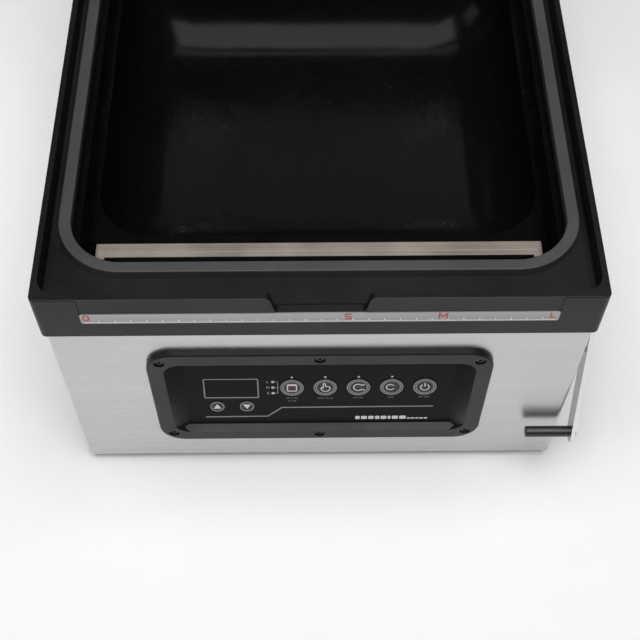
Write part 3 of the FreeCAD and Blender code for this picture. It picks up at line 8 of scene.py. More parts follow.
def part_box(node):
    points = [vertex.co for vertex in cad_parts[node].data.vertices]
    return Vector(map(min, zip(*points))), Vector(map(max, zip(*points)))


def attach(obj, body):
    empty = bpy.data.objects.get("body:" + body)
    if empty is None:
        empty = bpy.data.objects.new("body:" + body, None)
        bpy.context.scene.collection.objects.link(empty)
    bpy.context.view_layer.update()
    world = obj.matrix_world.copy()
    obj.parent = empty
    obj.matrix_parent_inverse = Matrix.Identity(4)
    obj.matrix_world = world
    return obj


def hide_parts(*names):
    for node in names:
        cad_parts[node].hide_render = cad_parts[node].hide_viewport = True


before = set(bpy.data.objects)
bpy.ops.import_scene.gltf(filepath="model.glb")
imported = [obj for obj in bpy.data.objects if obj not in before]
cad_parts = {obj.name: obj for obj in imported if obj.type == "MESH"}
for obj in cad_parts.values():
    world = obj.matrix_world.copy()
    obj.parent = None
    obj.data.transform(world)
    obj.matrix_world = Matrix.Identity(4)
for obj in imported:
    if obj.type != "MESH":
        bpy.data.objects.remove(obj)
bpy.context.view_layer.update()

# Chamber vacuum sealer. Lengths named here are in millimetres unless they say otherwise, and
# everything that is put in the scene is in metres, in the same frame as the CAD model.
MM = 0.001

# ---- Camera, floor and light ----

CAMERA_PLACE = (-0.0066, -0.6072, 0.7927)
CAMERA_YAW = 0.95
CAMERA_PITCH = 57.34
CAMERA_ROLL = -0.38
CAMERA_LENS = 64.5
CAMERA_SENSOR = 36.0

FLOOR_SIZE = 14.0
FLOOR_COLOUR = (0.9, 0.9, 0.9)
HORIZON_LIGHT = 0.95
ZENITH_LIGHT = 0.12
ZENITH_FROM = 0.55

# name: (place, aimed at, size, watts)
SOFTBOXES = {
    "top_softbox": ((0.1, -0.65, 3.0), (0.0, -0.15, 0.0), 2.6, 108.0),
    "left_softbox": ((-2.3, -1.0, 1.7), (0.0, -0.1, 0.1), 1.4, 12.0),
}


def add_camera():
    yaw, pitch, roll = (math.radians(a) for a in (CAMERA_YAW, CAMERA_PITCH, CAMERA_ROLL))
    ahead = math.cos(pitch)
    forward = Vector((math.sin(yaw) * ahead, math.cos(yaw) * ahead, -math.sin(pitch)))
    level = Vector((math.cos(yaw), -math.sin(yaw), 0.0))
    down = forward.cross(level)
    right = level * math.cos(roll) + down * math.sin(roll)
    up = level * math.sin(roll) - down * math.cos(roll)
    data = bpy.data.cameras.new("camera")
    data.lens = CAMERA_LENS
    data.sensor_width = CAMERA_SENSOR
    data.clip_start = 0.01
    data.clip_end = 50.0
    camera = bpy.data.objects.new("camera", data)
    bpy.context.scene.collection.objects.link(camera)
    turn = Matrix((right, up, -forward)).transposed().to_4x4()
    camera.matrix_world = Matrix.Translation(CAMERA_PLACE) @ turn
    bpy.context.scene.camera = camera


def add_softbox(name, place, target, size, watts):
    data = bpy.data.lights.new(name, "AREA")
    data.shape = "SQUARE"
    data.size = size
    data.energy = watts
    light = bpy.data.objects.new(name, data)
    bpy.context.scene.collection.objects.link(light)
    aim = (Vector(target) - Vector(place)).to_track_quat("-Z", "Y")
    light.matrix_world = Matrix.Translation(place) @ aim.to_matrix().to_4x4()


def add_world():
    """A plain white surround that is brightest at the horizon and dark overhead."""
    world = bpy.data.worlds.new("studio")
    world.use_nodes = True
    background = world.node_tree.nodes["Background"]
    nodes, links = world.node_tree.nodes, world.node_tree.links
    direction = nodes.new("ShaderNodeTexCoord").outputs["Generated"]
    split = nodes.new("ShaderNodeSeparateXYZ")
    links.new(direction, split.inputs["Vector"])
    fade = nodes.new("ShaderNodeMapRange")
    fade.inputs["From Max"].default_value = ZENITH_FROM
    fade.inputs["To Min"].default_value = HORIZON_LIGHT
    fade.inputs["To Max"].default_value = ZENITH_LIGHT
    links.new(split.outputs["Z"], fade.inputs["Value"])
    links.new(fade.outputs["Result"], background.inputs["Strength"])
    bpy.context.scene.world = world


add_camera()
add_world()
for softbox, (place, target, size, watts) in SOFTBOXES.items():
    add_softbox(softbox, place, target, size, watts)
bpy.context.scene.view_settings.view_transform = "Standard"

# ---- Materials ----


class Finish:
    """A node material round one Principled shader, with the object's own coordinates in metres."""

    def __init__(self, name):
        self.material = bpy.data.materials.new(name)
        self.material.use_nodes = True
        self.tree = self.material.node_tree
        self.shader = self.tree.nodes["Principled BSDF"]
        self.coordinates = self.tree.nodes.new("ShaderNodeTexCoord").outputs["Object"]

    def add(self, kind, **settings):
        node = self.tree.nodes.new(kind)
        for key, value in settings.items():
            setattr(node, key, value)
        return node

    def link(self, source, target):
        self.tree.links.new(source, target)

    def stretched(self, cells):
        """Coordinates scaled so that a texture of scale 1 has that many cells per metre on each axis."""
        mapping = self.add("ShaderNodeMapping")
        mapping.inputs["Scale"].default_value = cells
        self.link(self.coordinates, mapping.inputs["Vector"])
        return mapping.outputs["Vector"]

    def noise(self, cells, detail=3.0, roughness=0.55):
        texture = self.add("ShaderNodeTexNoise")
        texture.inputs["Scale"].default_value = 1.0
        texture.inputs["Detail"].default_value = detail
        texture.inputs["Roughness"].default_value = roughness
        self.link(self.stretched(cells), texture.inputs["Vector"])
        return texture.outputs["Fac"]

    def stripes(self, cells, axis):
        texture = self.add("ShaderNodeTexWave", bands_direction=axis)
        texture.inputs["Scale"].default_value = 1.0
        texture.inputs["Distortion"].default_value = 0.6
        texture.inputs["Detail"].default_value = 1.0
        self.link(self.stretched(cells), texture.inputs["Vector"])
        return texture.outputs["Fac"]

    def ranged(self, source, low, high, from_low=0.3, from_high=0.7):
        node = self.add("ShaderNodeMapRange")
        node.inputs["From Min"].default_value = from_low
        node.inputs["From Max"].default_value = from_high
        node.inputs["To Min"].default_value = low
        node.inputs["To Max"].default_value = high
        self.link(source, node.inputs["Value"])
        return node.outputs["Result"]

    def mixed(self, factor, first, second):
        """A colour between two, each a colour triple or the output of another node."""
        node = self.add("ShaderNodeMix", data_type="RGBA")
        self.link(factor, node.inputs["Factor"])
        for socket, value in ((node.inputs[6], first), (node.inputs[7], second)):
            if isinstance(value, tuple):
                socket.default_value = (*value, 1.0)
            else:
                self.link(value, socket)
        return node.outputs[2]

    def combined(self, first, second, operation="MULTIPLY"):
        node = self.add("ShaderNodeMath", operation=operation)
        self.link(first, node.inputs[0])
        self.link(second, node.inputs[1])
        return node.outputs["Value"]

    def relief(self, height, depth, strength=1.0):
        node = self.add("ShaderNodeBump")
        node.inputs["Strength"].default_value = strength
        node.inputs["Distance"].default_value = depth * MM
        self.link(height, node.inputs["Height"])
        self.link(node.outputs["Normal"], self.shader.inputs["Normal"])

    def sockets(self, **values):
        for name, value in values.items():
            self.shader.inputs[name.replace("_", " ")].default_value = value


# Ranges of two multiplied noises that are spread over a whole blend, and cells per metre.
FULL_BLEND = (0.12, 0.4)
STREAK_BLEND = (0.14, 0.38)
BROAD_STREAKS = 0.22
BOARD_CELLS = 260.0
WEFT_THREADS = 620.0
WARP_THREADS = 480.0


def shaded(colour, factor):
    return tuple(min(1.0, channel * factor) for channel in colour)


def even(cells):
    return (cells, cells, cells)


def plain_finish(name, colour, rough, metallic=0.0, grain=900.0, tone=0.12, spread=0.06,
                 depth=0.01, specular=0.5, marks=22.0):
    """Moulded, painted, cast or ground surface: a fine grain over a slow drift in tone and roughness."""
    finish = Finish(name)
    fine = finish.noise(even(grain), detail=2.0)
    slow = finish.noise(even(marks), detail=4.0)
    blend = finish.combined(fine, slow)
    factor = finish.ranged(blend, 0.0, 1.0, *FULL_BLEND)
    colours = finish.mixed(factor, shaded(colour, 1.0 - tone), shaded(colour, 1.0 + tone))
    finish.link(colours, finish.shader.inputs["Base Color"])
    finish.link(finish.ranged(slow, rough - spread, rough + spread), finish.shader.inputs["Roughness"])
    finish.relief(fine, depth)
    finish.sockets(Metallic=metallic, Specular_IOR_Level=specular)
    return finish


def brushed_finish(name, colour, rough, lines=(7.0, 7.0, 420.0), tone=0.1, spread=0.07, depth=0.012):
    """Sheet metal with straight brushed lines along the cabinet's level directions."""
    finish = Finish(name)
    fine = finish.noise(lines, detail=5.0, roughness=0.7)
    broad = finish.noise(tuple(count * BROAD_STREAKS for count in lines), detail=2.0)
    slow = finish.noise(even(5.0), detail=2.0)
    streaks = finish.combined(fine, broad)
    factor = finish.ranged(streaks, 0.0, 1.0, *STREAK_BLEND)
    colours = finish.mixed(factor, shaded(colour, 1.0 - tone), shaded(colour, 1.0 + tone))
    finish.link(colours, finish.shader.inputs["Base Color"])
    wear = finish.combined(fine, slow)
    roughness = finish.ranged(wear, rough - spread, rough + spread, *FULL_BLEND)
    finish.link(roughness, finish.shader.inputs["Roughness"])
    finish.relief(fine, depth)
    finish.sockets(Metallic=1.0)
    return finish


def tape_finish(name, colour, rough):
    """Coated glass cloth: a fine square weave, darker along the lengthwise threads."""
    finish = Finish(name)
    along = finish.stripes((1.0, WEFT_THREADS, WEFT_THREADS), "DIAGONAL")
    across = finish.stripes((WARP_THREADS, 1.0, 1.0), "X")
    weave = finish.combined(along, across, "ADD")
    bands = finish.noise((3.0, 300.0, 300.0), detail=3.0)
    slow = finish.noise(even(30.0))
    factor = finish.ranged(finish.combined(bands, slow, "ADD"), 0.0, 1.0, 0.75, 1.25)
    tone = finish.mixed(factor, shaded(colour, 0.72), shaded(colour, 1.2))
    finish.link(tone, finish.shader.inputs["Base Color"])
    finish.link(finish.ranged(slow, rough - 0.08, rough + 0.08), finish.shader.inputs["Roughness"])
    finish.relief(weave, 0.02)
    return finish


def clear_finish(name, colour, rough):
    """Clear acrylic with a faint tint, and light wiping marks in its polish."""
    finish = plain_finish(name, colour, rough, grain=60.0, tone=0.02, spread=0.015, depth=0.002)
    finish.sockets(Transmission_Weight=1.0, IOR=1.49)
    return finish


def board_finish(name, colour, rough):
    """Circuit board: solder mask over tracks that show as a lighter pattern of cells."""
    finish = Finish(name)
    tracks = finish.add("ShaderNodeTexVoronoi", feature="DISTANCE_TO_EDGE")
    tracks.inputs["Scale"].default_value = 1.0
    finish.link(finish.stretched(even(BOARD_CELLS)), tracks.inputs["Vector"])
    factor = finish.ranged(tracks.outputs["Distance"], 1.0, 0.0, 0.04, 0.09)
    finish.link(finish.mixed(factor, colour, shaded(colour, 1.7)), finish.shader.inputs["Base Color"])
    slow = finish.noise(even(40.0))
    finish.link(finish.ranged(slow, rough - 0.05, rough + 0.05), finish.shader.inputs["Roughness"])
    finish.relief(tracks.outputs["Distance"], 0.02)
    return finish


# slot: (kind of finish, colour, roughness, other settings)
FINISH_TABLE = {
    "brushed_steel_sheet": (brushed_finish, (0.54, 0.54, 0.545), 0.29,
                            dict(lines=(9.0, 9.0, 700.0), tone=0.04, spread=0.04, depth=0.007)),
    "plain_steel_sheet": (plain_finish, (0.5, 0.51, 0.52), 0.45,
                          dict(metallic=1.0, grain=120.0, tone=0.14, spread=0.1)),
    "frame_plastic": (plain_finish, (0.006, 0.006, 0.0064), 0.42,
                      dict(grain=1500.0, depth=0.012, specular=0.28)),
    "gloss_black": (plain_finish, (0.0035, 0.0035, 0.0037), 0.2,
                    dict(grain=160.0, tone=0.2, spread=0.035, depth=0.0015, specular=0.08, marks=9.0)),
    "bezel_plastic": (plain_finish, (0.009, 0.009, 0.0095), 0.4, dict(grain=1800.0, specular=0.28)),
    "panel_face": (plain_finish, (0.003, 0.0034, 0.0032), 0.34,
                   dict(grain=2200.0, depth=0.004, specular=0.12)),
    "seal_rubber": (plain_finish, (0.05, 0.05, 0.052), 0.5, dict(grain=1100.0, tone=0.15, specular=0.4)),
    "black_rubber": (plain_finish, (0.02, 0.02, 0.02), 0.7,
                     dict(grain=1000.0, tone=0.2, depth=0.03, specular=0.3)),
    "ruler_film": (brushed_finish, (0.36, 0.36, 0.365), 0.42, dict(lines=(12.0, 12.0, 900.0))),
    "screw_steel": (plain_finish, (0.66, 0.66, 0.67), 0.28, dict(metallic=1.0, grain=700.0)),
    "black_screw": (plain_finish, (0.07, 0.07, 0.072), 0.38, dict(metallic=0.6, grain=900.0, tone=0.2)),
    "key_plastic": (plain_finish, (0.006, 0.006, 0.0065), 0.3, dict(grain=1800.0, depth=0.004)),
    "dark_window": (plain_finish, (0.005, 0.005, 0.0055), 0.18,
                    dict(grain=150.0, spread=0.03, depth=0.001, specular=0.1)),
    "lamp_lens": (plain_finish, (0.62, 0.62, 0.64), 0.25, dict(grain=1500.0)),
    "circuit_board": (board_finish, (0.03, 0.16, 0.07), 0.35, {}),
    "black_plastic": (plain_finish, (0.022, 0.022, 0.024), 0.4, dict(grain=1300.0)),
    "release_tape": (tape_finish, (0.24, 0.205, 0.17), 0.5, {}),
    "bar_aluminium": (brushed_finish, (0.68, 0.69, 0.7), 0.35, dict(lines=(300.0, 8.0, 8.0))),
    "heating_alloy": (plain_finish, (0.55, 0.52, 0.48), 0.35, dict(metallic=1.0, grain=500.0)),
    "clear_acrylic": (clear_finish, (0.93, 0.97, 0.98), 0.03, {}),
    "silicone": (plain_finish, (0.36, 0.05, 0.035), 0.55, dict(grain=800.0, specular=0.4)),
    "polished_steel": (brushed_finish, (0.74, 0.74, 0.75), 0.16,
                       dict(lines=(30.0, 300.0, 30.0), tone=0.05, spread=0.05, depth=0.004)),
    "grip_plastic": (plain_finish, (0.02, 0.02, 0.022), 0.38, dict(grain=1600.0)),
    "cast_housing": (plain_finish, (0.22, 0.23, 0.25), 0.6,
                     dict(metallic=0.3, grain=500.0, tone=0.18, depth=0.05)),
    "cast_aluminium": (plain_finish, (0.6, 0.61, 0.62), 0.5,
                       dict(metallic=1.0, grain=450.0, tone=0.12, depth=0.04)),
    "shaft_steel": (brushed_finish, (0.58, 0.58, 0.59), 0.25, dict(lines=(500.0, 20.0, 20.0))),
    "brass": (plain_finish, (0.75, 0.56, 0.24), 0.3, dict(metallic=1.0, grain=600.0)),
    "core_steel": (brushed_finish, (0.24, 0.2, 0.17), 0.5, dict(lines=(8.0, 8.0, 1100.0))),
}
FINISHES = {slot: make(slot + "_finish", colour, rough, **settings)
            for slot, (make, colour, rough, settings) in FINISH_TABLE.items()}


def ink(name, colour, tone=0.1):
    return plain_finish(name, colour, 0.45, grain=2400.0, tone=tone, depth=0.002)


WHITE_INK = ink("white_ink", (0.72, 0.72, 0.73), tone=0.08)
GREY_INK = ink("grey_ink", (0.09, 0.09, 0.095))
PALE_INK = ink("pale_ink", (0.3, 0.3, 0.31))
RED_INK = ink("red_ink", (0.14, 0.007, 0.009))
RULER_RED_INK = ink("ruler_red_ink", (0.5, 0.05, 0.04))
FLOOR_FINISH = plain_finish("floor_finish", FLOOR_COLOUR, 0.85, grain=40.0, tone=0.006, depth=0.01,
                            specular=0.1, marks=1.5)

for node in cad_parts.values():
    for material_slot in node.material_slots:
        material_slot.material = FINISHES[material_slot.material.name].material

# ---- Thin printed marks, as flat shapes a few hundredths of a millimetre thick ----

INK_SINK = 0.03
INK_PROUD = 0.05


class Face:
    """A flat face to print on: its origin in mm, and its rightward and upward directions."""

    def __init__(self, origin, across, up):
        self.origin = Vector(origin)
        self.across = Vector(across)
        self.up = Vector(up)
        self.normal = self.across.cross(self.up)

    def at(self, x, y, height=0.0):
        return (self.origin + self.across * x + self.up * y + self.normal * height) * MM


def new_piece(mesh, name, finish, body):
    """Turns a bmesh into an object of the scene that rides on a body."""
    bmesh.ops.recalc_face_normals(mesh, faces=mesh.faces)
    data = bpy.data.meshes.new(name)
    mesh.to_mesh(data)
    mesh.free()
    data.materials.append(finish.material)
    piece = bpy.data.objects.new(name, data)
    bpy.context.scene.collection.objects.link(piece)
    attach(piece, body)
    return piece


def circle(cx, cy, radius, steps=40, start=0.0, sweep=360.0):
    """Points round a circle, or along an arc where sweep is less than the whole turn."""
    count = steps if sweep >= 360.0 else steps + 1
    angles = [math.radians(start + sweep * index / steps) for index in range(count)]
    return [(cx + radius * math.cos(angle), cy + radius * math.sin(angle)) for angle in angles]


def rounded_rectangle(cx, cy, width, height, radius):
    half_x, half_y = width / 2 - radius, height / 2 - radius
    points = []
    for quarter, (side_x, side_y) in enumerate(((1, 1), (-1, 1), (-1, -1), (1, -1))):
        points += circle(cx + side_x * half_x, cy + side_y * half_y, radius, 6, 90.0 * quarter, 90.0)
    return points


def filled(mesh, face, points, height=0.0, thickness=INK_PROUD):
    """A solid patch with that outline."""
    low = [mesh.verts.new(face.at(x, y, height - INK_SINK)) for x, y in points]
    high = [mesh.verts.new(face.at(x, y, height + thickness)) for x, y in points]
    mesh.faces.new(high)
    mesh.faces.new(low[::-1])
    for index in range(len(points)):
        after = (index + 1) % len(points)
        mesh.faces.new((low[index], low[after], high[after], high[index]))


def offsets(points, closed, half):
    """The points of a line's left and right edges, mitred at its corners."""
    edges = []
    count = len(points)
    for index, point in enumerate(points):
        before = Vector(points[index - 1]) if closed or index > 0 else None
        after = Vector(points[(index + 1) % count]) if closed or index < count - 1 else None
        here = Vector(point)
        first = (here - before).normalized() if before is not None else (after - here).normalized()
        second = (after - here).normalized() if after is not None else first
        tangent = (first + second).normalized()
        normal = Vector((-tangent.y, tangent.x))
        reach = half / max(0.35, normal.dot(Vector((-first.y, first.x))))
        edges.append((here + normal * reach, here - normal * reach))
    return edges


def line(mesh, face, points, width, closed=False, height=0.0, thickness=INK_PROUD):
    """A line of even width along the points."""
    rings = []
    for left, right in offsets(points, closed, width / 2):
        corners = ((left, -INK_SINK), (right, -INK_SINK), (right, thickness), (left, thickness))
        rings.append([mesh.verts.new(face.at(p.x, p.y, height + lift)) for p, lift in corners])
    pairs = list(zip(rings, rings[1:]))
    if closed:
        pairs.append((rings[-1], rings[0]))
    else:
        mesh.faces.new(rings[0][::-1])
        mesh.faces.new(rings[-1])
    for ring, following in pairs:
        for index in range(4):
            after = (index + 1) % 4
            mesh.faces.new((ring[index], ring[after], following[after], following[index]))


def glyph(mesh, face, symbol, x, y, size, stroke, height=0.0):
    """One of the size marks 0, S, M or L, centred on a point."""
    wide = {"0": 0.62, "S": 0.6, "M": 0.8, "L": 0.52}[symbol] * size / 2
    tall = size / 2
    if symbol == "0":
        points = [(x + wide * px, y + tall * py) for px, py in circle(0, 0, 1.0, 24)]
        line(mesh, face, points, stroke, closed=True, height=height)
        return
    if symbol == "S":
        upper = circle(0, 0.5, 0.5, 14, 20.0, 250.0)
        lower = circle(0, -0.5, 0.5, 14, 90.0, -250.0)
        points = [(x + wide * 2 * px, y + tall * py) for px, py in upper + lower[1:]]
    elif symbol == "M":
        corners = ((-1, -1), (-1, 1), (0, -0.35), (1, 1), (1, -1))
        points = [(x + wide * px, y + tall * py) for px, py in corners]
    else:
        points = [(x - wide, y + tall), (x - wide, y - tall), (x + wide, y - tall)]
    line(mesh, face, points, stroke, height=height)


# ---- Marks of the control panel ----

PANEL_TILT = math.radians(13.3)
PANEL = Face((0.0, -218.5, 47.0), (1, 0, 0), (0, math.sin(PANEL_TILT), math.cos(PANEL_TILT)))

KEY_PROUD = 0.6
KEY_PITCH = 23.5
KEY_FIRST = -19.5
KEY_RISE = 38.6
KEY_RING = (5.9, 8.15)
RING_LINE = 0.7
WINDOW = (-62.6, 37.9, 39.0, 20.0)
WINDOW_PROUD = 0.2
WINDOW_LINE = 0.9
DIVIDER = [(-82.4, 7.6), (-37.4, 8.0), (-27.0, 17.3), (81.7, 17.6)]
DIVIDER_LINE = 1.0
SIZE_LEVELS = (44.3, 38.4, 32.6)
BRACKET_LEFT, BRACKET_BACK, BRACKET_TIP = -31.6, -29.6, -28.6
BRACKET_LINE = 0.5
SIZE_LETTER_X = -36.6
SIZE_LETTER_HEIGHT = 2.1
SIZE_LETTER_LINE = 0.45
# key number: rows of dashes, each with its rise and the dashes' widths
CAPTION_ROWS = {0: ((27.2, (2.6, 1.4, 2.9)), (24.2, (2.2, 3.0))), 1: ((26.9, (5.2, 2.4, 2.0)),),
                2: ((27.2, (3.4, 3.2)),), 3: ((27.4, (4.2,)),), 4: ((27.6, (3.4, 3.9)),)}
CAPTION_GAP = 0.8
CAPTION_HEIGHT = 1.0
CAPTION_CORNER = 0.3
# rise, height, corner radius, gap and widths of each run of the badge's blocks
BADGE_LEFT = 26.0
BADGE_RUNS = ((5.6, 3.4, 0.8, 0.9, (3.2, 4.4, 4.0, 3.2, 4.2, 2.2, 4.4, 4.8)),
              (4.6, 1.4, 0.5, 0.6, (2.2, 2.6, 2.2, 3.0, 2.4)))
DARK_PATCH = (-62.7, 19.4, 11.0, 10.6, 0.6)
DARK_PATCH_THICKNESS = 0.02
SMALL_KEYS = {"key_up": (-73.3, 1.0), "key_down": (-52.1, -1.0)}
SMALL_KEY_RISE = 19.3
SMALL_KEY_RING = 5.05
ARROW_HALF = 2.8
ARROW_FOOT = 2.1
ARROW_TIP = 2.7


def panel_piece(name, finish, draw, body="cabinet"):
    mesh = bmesh.new()
    draw(mesh)
    return new_piece(mesh, name, finish, body)


def draw_window_outline(mesh):
    x, y, width, height = WINDOW
    outline = rounded_rectangle(x, y, width - WINDOW_LINE, height - WINDOW_LINE, 0.6)
    line(mesh, PANEL, outline, WINDOW_LINE, closed=True, height=WINDOW_PROUD)


def draw_divider(mesh):
    line(mesh, PANEL, DIVIDER, DIVIDER_LINE)


def draw_size_bracket(mesh):
    top, centre, bottom = SIZE_LEVELS
    overlap = BRACKET_LINE / 2
    for level in SIZE_LEVELS:
        line(mesh, PANEL, [(BRACKET_LEFT, level), (BRACKET_BACK, level)], BRACKET_LINE)
    line(mesh, PANEL, [(BRACKET_BACK, top + overlap), (BRACKET_BACK, bottom - overlap)], BRACKET_LINE)
    line(mesh, PANEL, [(BRACKET_BACK, centre), (BRACKET_TIP, centre)], BRACKET_LINE)
    for symbol, level in zip("LMS", SIZE_LEVELS):
        glyph(mesh, PANEL, symbol, SIZE_LETTER_X, level, SIZE_LETTER_HEIGHT, SIZE_LETTER_LINE)


def draw_caption_bars(mesh):
    """Short dashes where the keys' captions stand, with no lettering."""
    for index, key_rows in CAPTION_ROWS.items():
        for rise, widths in key_rows:
            x = KEY_FIRST + index * KEY_PITCH - (sum(widths) + CAPTION_GAP * (len(widths) - 1)) / 2
            for width in widths:
                dash = rounded_rectangle(x + width / 2, rise, width, CAPTION_HEIGHT, CAPTION_CORNER)
                filled(mesh, PANEL, dash)
                x += width + CAPTION_GAP


def draw_plain_badge(mesh):
    """A plain row of rounded blocks where a maker would print a name."""
    x = BADGE_LEFT
    for rise, height, corner, gap, widths in BADGE_RUNS:
        for width in widths:
            filled(mesh, PANEL, rounded_rectangle(x + width / 2, rise, width, height, corner))
            x += width + gap


def draw_dark_patch(mesh):
    filled(mesh, PANEL, rounded_rectangle(*DARK_PATCH), thickness=DARK_PATCH_THICKNESS)


def key_outline(mesh, centre, points, width, closed=False):
    """A line on top of a key, its points given from the key's centre."""
    placed = [(centre + x, KEY_RISE + y) for x, y in points]
    line(mesh, PANEL, placed, width, closed=closed, height=KEY_PROUD)


def draw_bag(mesh, centre):
    key_outline(mesh, centre, rounded_rectangle(0.0, 0.0, 6.4, 6.8, 1.0), 0.9, closed=True)
    key_outline(mesh, centre, [(-3.0, 2.4), (3.0, 2.4)], 0.9)


def draw_bag_core(mesh, centre):
    key_outline(mesh, centre, rounded_rectangle(0.0, -0.3, 3.2, 3.0, 0.4), 0.9, closed=True)


def draw_hand(mesh, centre):
    outline = [(-1.4, 4.0), (-0.6, 4.3), (0.0, 3.8), (0.2, 1.3), (2.4, 1.0), (3.4, 0.2), (3.3, -1.8),
               (2.0, -3.6), (-0.8, -3.9), (-2.4, -2.6), (-3.0, -0.4), (-2.3, 0.2), (-1.5, -0.5)]
    key_outline(mesh, centre, outline, 0.75, closed=True)


def draw_open_bag(mesh, centre):
    arc = circle(-0.2, 0.0, 3.2, 20, 40.0, 280.0)
    key_outline(mesh, centre, [(4.3, 2.9)] + arc + [(4.3, -2.9)], 0.9)


def draw_open_bag_core(mesh, centre):
    points = [(centre + x, KEY_RISE + y) for x, y in rounded_rectangle(-0.2, 0.0, 2.4, 2.0, 0.6)]
    filled(mesh, PANEL, points, height=KEY_PROUD)


def draw_sealed_bag(mesh, centre):
    arc = circle(-1.0, 0.0, 2.7, 18, 55.0, 250.0)
    key_outline(mesh, centre, [(1.6, 1.5)] + arc + [(1.6, -1.5)], 0.85)


def draw_seal_mark(mesh, centre):
    for rise in (-2.7, -0.9, 0.9, 2.7):
        key_outline(mesh, centre, [(3.0, rise - 0.6), (3.0, rise + 0.6)], 0.8)


def draw_power(mesh, centre):
    key_outline(mesh, centre, circle(0.0, -0.4, 3.0, 24, 125.0, 290.0), 0.85)
    key_outline(mesh, centre, [(0.0, 0.4), (0.0, 4.0)], 0.85)


KEYS = {
    "key_reseal": (draw_bag, draw_bag_core),
    "key_cushion": (draw_hand, None),
    "key_marinate": (draw_open_bag, draw_open_bag_core),
    "key_seal": (draw_sealed_bag, draw_seal_mark),
    "key_power": (draw_power, None),
}


def add_key_marks(index, name, draw_white, draw_red):
    centre = KEY_FIRST + index * KEY_PITCH
    body = name + "_body"
    inner, outer = KEY_RING

    def band(mesh):
        points = circle(centre, KEY_RISE, (inner + outer) / 2, 64)
        line(mesh, PANEL, points, outer - inner, closed=True, height=KEY_PROUD, thickness=INK_PROUD / 2)

    def rings(mesh):
        for radius in (inner + RING_LINE / 2, outer - RING_LINE / 2):
            points = circle(centre, KEY_RISE, radius, 64)
            line(mesh, PANEL, points, RING_LINE, closed=True, height=KEY_PROUD)

    marks = [("_band", GREY_INK, band), ("_rings", PALE_INK, rings),
             ("_symbol", WHITE_INK, lambda mesh: draw_white(mesh, centre))]
    if draw_red is not None:
        marks.append(("_symbol_red", RED_INK, lambda mesh: draw_red(mesh, centre)))
    for ending, finish, draw in marks:
        panel_piece(name + ending, finish, draw, body)


def add_small_key_marks(name, x, point):
    body = name + "_body"

    def ring(mesh):
        points = circle(x, SMALL_KEY_RISE, SMALL_KEY_RING - RING_LINE / 2, 48)
        line(mesh, PANEL, points, RING_LINE, closed=True, height=KEY_PROUD)

    def arrow(mesh):
        foot = SMALL_KEY_RISE - ARROW_FOOT * point
        corners = [(x - ARROW_HALF, foot), (x + ARROW_HALF, foot), (x, SMALL_KEY_RISE + ARROW_TIP * point)]
        filled(mesh, PANEL, corners if point > 0 else corners[::-1], height=KEY_PROUD)

    panel_piece(name + "_ring", PALE_INK, ring, body)
    panel_piece(name + "_arrow", WHITE_INK, arrow, body)


PANEL_MARKS = {
    "display_outline": (PALE_INK, draw_window_outline),
    "panel_divider": (PALE_INK, draw_divider),
    "panel_size_bracket": (PALE_INK, draw_size_bracket),
    "panel_caption_bars": (GREY_INK, draw_caption_bars),
    "panel_plain_badge": (WHITE_INK, draw_plain_badge),
    "panel_dark_patch": (FINISHES["dark_window"], draw_dark_patch),
}
for mark_name, (mark_finish, mark_drawing) in PANEL_MARKS.items():
    panel_piece(mark_name, mark_finish, mark_drawing)
for key_index, (key_name, (white_part, red_part)) in enumerate(KEYS.items()):
    add_key_marks(key_index, key_name, white_part, red_part)
for key_name, (key_x, key_point) in SMALL_KEYS.items():
    add_small_key_marks(key_name, key_x, key_point)

# ---- Marks of the measuring strip ----

STRIP_LOW, STRIP_HIGH = (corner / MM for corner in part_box("measuring_strip"))
STRIP = Face((STRIP_LOW.x, STRIP_LOW.y, STRIP_LOW.z), (1, 0, 0), (0, 0, 1))
STRIP_LENGTH = STRIP_HIGH.x - STRIP_LOW.x
TICK_PITCH = 9.86
TICK_START = 1.5
TICK_BASE = 1.1
TICK_RISE = 2.6
TICK_LINE = 0.8
STRIP_MARGIN = 2.0
SIZE_MARK_RISE = 6.1
SIZE_MARK_LINE = 1.2
SIZE_MARKS = (("0", 3.6, 5.6), ("S", 166.0, 5.9), ("M", 225.0, 5.9), ("L", 293.3, 5.0))


def draw_ticks(mesh):
    ends = [(STRIP_MARGIN, TICK_BASE), (STRIP_LENGTH - STRIP_MARGIN, TICK_BASE)]
    line(mesh, STRIP, ends, TICK_LINE)
    for index in range(1, int(STRIP_LENGTH / TICK_PITCH)):
        x = index * TICK_PITCH + TICK_START
        line(mesh, STRIP, [(x, TICK_BASE), (x, TICK_BASE + TICK_RISE)], TICK_LINE)


def draw_size_marks(mesh):
    for symbol, x, size in SIZE_MARKS:
        glyph(mesh, STRIP, symbol, x, SIZE_MARK_RISE, size, SIZE_MARK_LINE)


panel_piece("strip_ticks", WHITE_INK, draw_ticks)
panel_piece("strip_size_marks", RULER_RED_INK, draw_size_marks)

# ---- Release tape of the seal bar ----

TAPE_LOW, TAPE_HIGH = (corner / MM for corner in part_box("seal_bar_tape"))
TAPE_THICKNESS = 0.3
TAPE_STATIONS = 120
TAPE_ROUND = 1.0
TAPE_ROUND_STEPS = 4
TAPE_TOP_STEPS = 60
TAPE_RIPPLE = 0.05
WIRE_STEP = 0.28
WIRE_SLOPE = 0.5
WIRE_CENTRES = (-3.5, 3.5)
WIRE_HALF = 1.25


def tape_height(across):
    """How far the tape's top lies below its highest line, at a place across the bar."""
    nearest = min(abs(across - centre) for centre in WIRE_CENTRES)
    slope = min(1.0, max(0.0, (nearest - WIRE_HALF) / WIRE_SLOPE))
    return -WIRE_STEP * slope


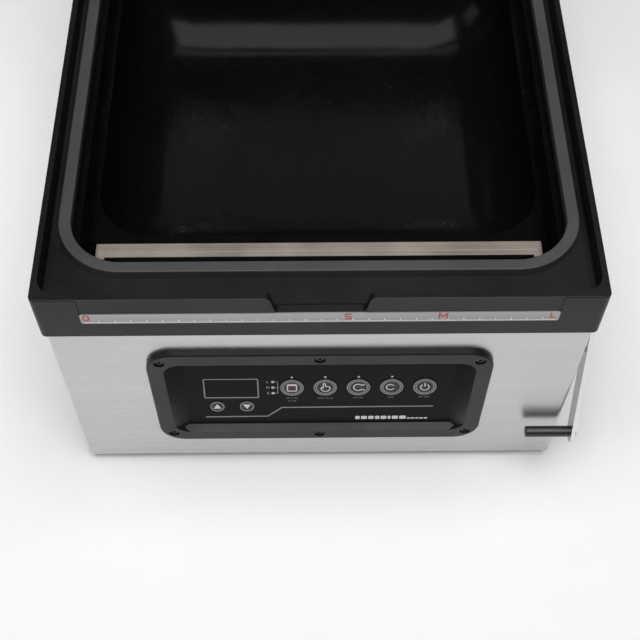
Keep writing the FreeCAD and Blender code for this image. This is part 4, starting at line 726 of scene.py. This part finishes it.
def tape_profile():
    """Points of the tape's outer face across the bar, from the front skirt's foot to the rear one's."""
    half = (TAPE_HIGH.y - TAPE_LOW.y) / 2
    top = TAPE_HIGH.z
    shoulder = top - TAPE_ROUND
    count = TAPE_ROUND_STEPS
    points = [(-half, TAPE_LOW.z + step * (shoulder - TAPE_LOW.z) / count) for step in range(count + 1)]
    for step in range(1, count + 1):
        angle = math.radians(90.0 * step / count)
        y = -half + TAPE_ROUND * (1 - math.cos(angle))
        points.append((y, shoulder + (TAPE_ROUND - WIRE_STEP) * math.sin(angle)))
    front = list(points)
    inner = half - TAPE_ROUND
    for step in range(1, TAPE_TOP_STEPS):
        across = -inner + 2 * inner * step / TAPE_TOP_STEPS
        points.append((across, top + tape_height(across)))
    points += [(-y, z) for y, z in reversed(front)]
    return points


def add_release_tape():
    mesh = bmesh.new()
    centre = (TAPE_HIGH.y + TAPE_LOW.y) / 2
    profile = tape_profile()
    rows = []
    for station in range(TAPE_STATIONS + 1):
        share = station / TAPE_STATIONS
        x = TAPE_LOW.x + share * (TAPE_HIGH.x - TAPE_LOW.x)
        row = []
        for index, (y, z) in enumerate(profile):
            ripple = TAPE_RIPPLE * math.sin(x * 0.31 + index * 0.9) * math.sin(x * 0.083 + 1.7)
            row.append(mesh.verts.new(Vector((x, centre + y, z - abs(ripple))) * MM))
        rows.append(row)
    for row, following in zip(rows, rows[1:]):
        for index in range(len(profile) - 1):
            mesh.faces.new((row[index], row[index + 1], following[index + 1], following[index]))
    tape = new_piece(mesh, "release_tape_wrap", FINISHES["release_tape"], "seal_bar")
    for polygon in tape.data.polygons:
        polygon.use_smooth = True
    solid = tape.modifiers.new("thickness", "SOLIDIFY")
    solid.thickness = TAPE_THICKNESS * MM
    solid.offset = -1.0
    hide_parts("seal_bar_tape")


add_release_tape()

# ---- Floor ----


def add_floor():
    mesh = bmesh.new()
    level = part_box("feet")[0].z
    half = FLOOR_SIZE / 2
    corners = ((-half, -half), (half, -half), (half, half), (-half, half))
    mesh.faces.new([mesh.verts.new((x, y, level)) for x, y in corners])
    data = bpy.data.meshes.new("floor")
    mesh.to_mesh(data)
    mesh.free()
    data.materials.append(FLOOR_FINISH.material)
    floor = bpy.data.objects.new("floor", data)
    bpy.context.scene.collection.objects.link(floor)


add_floor()
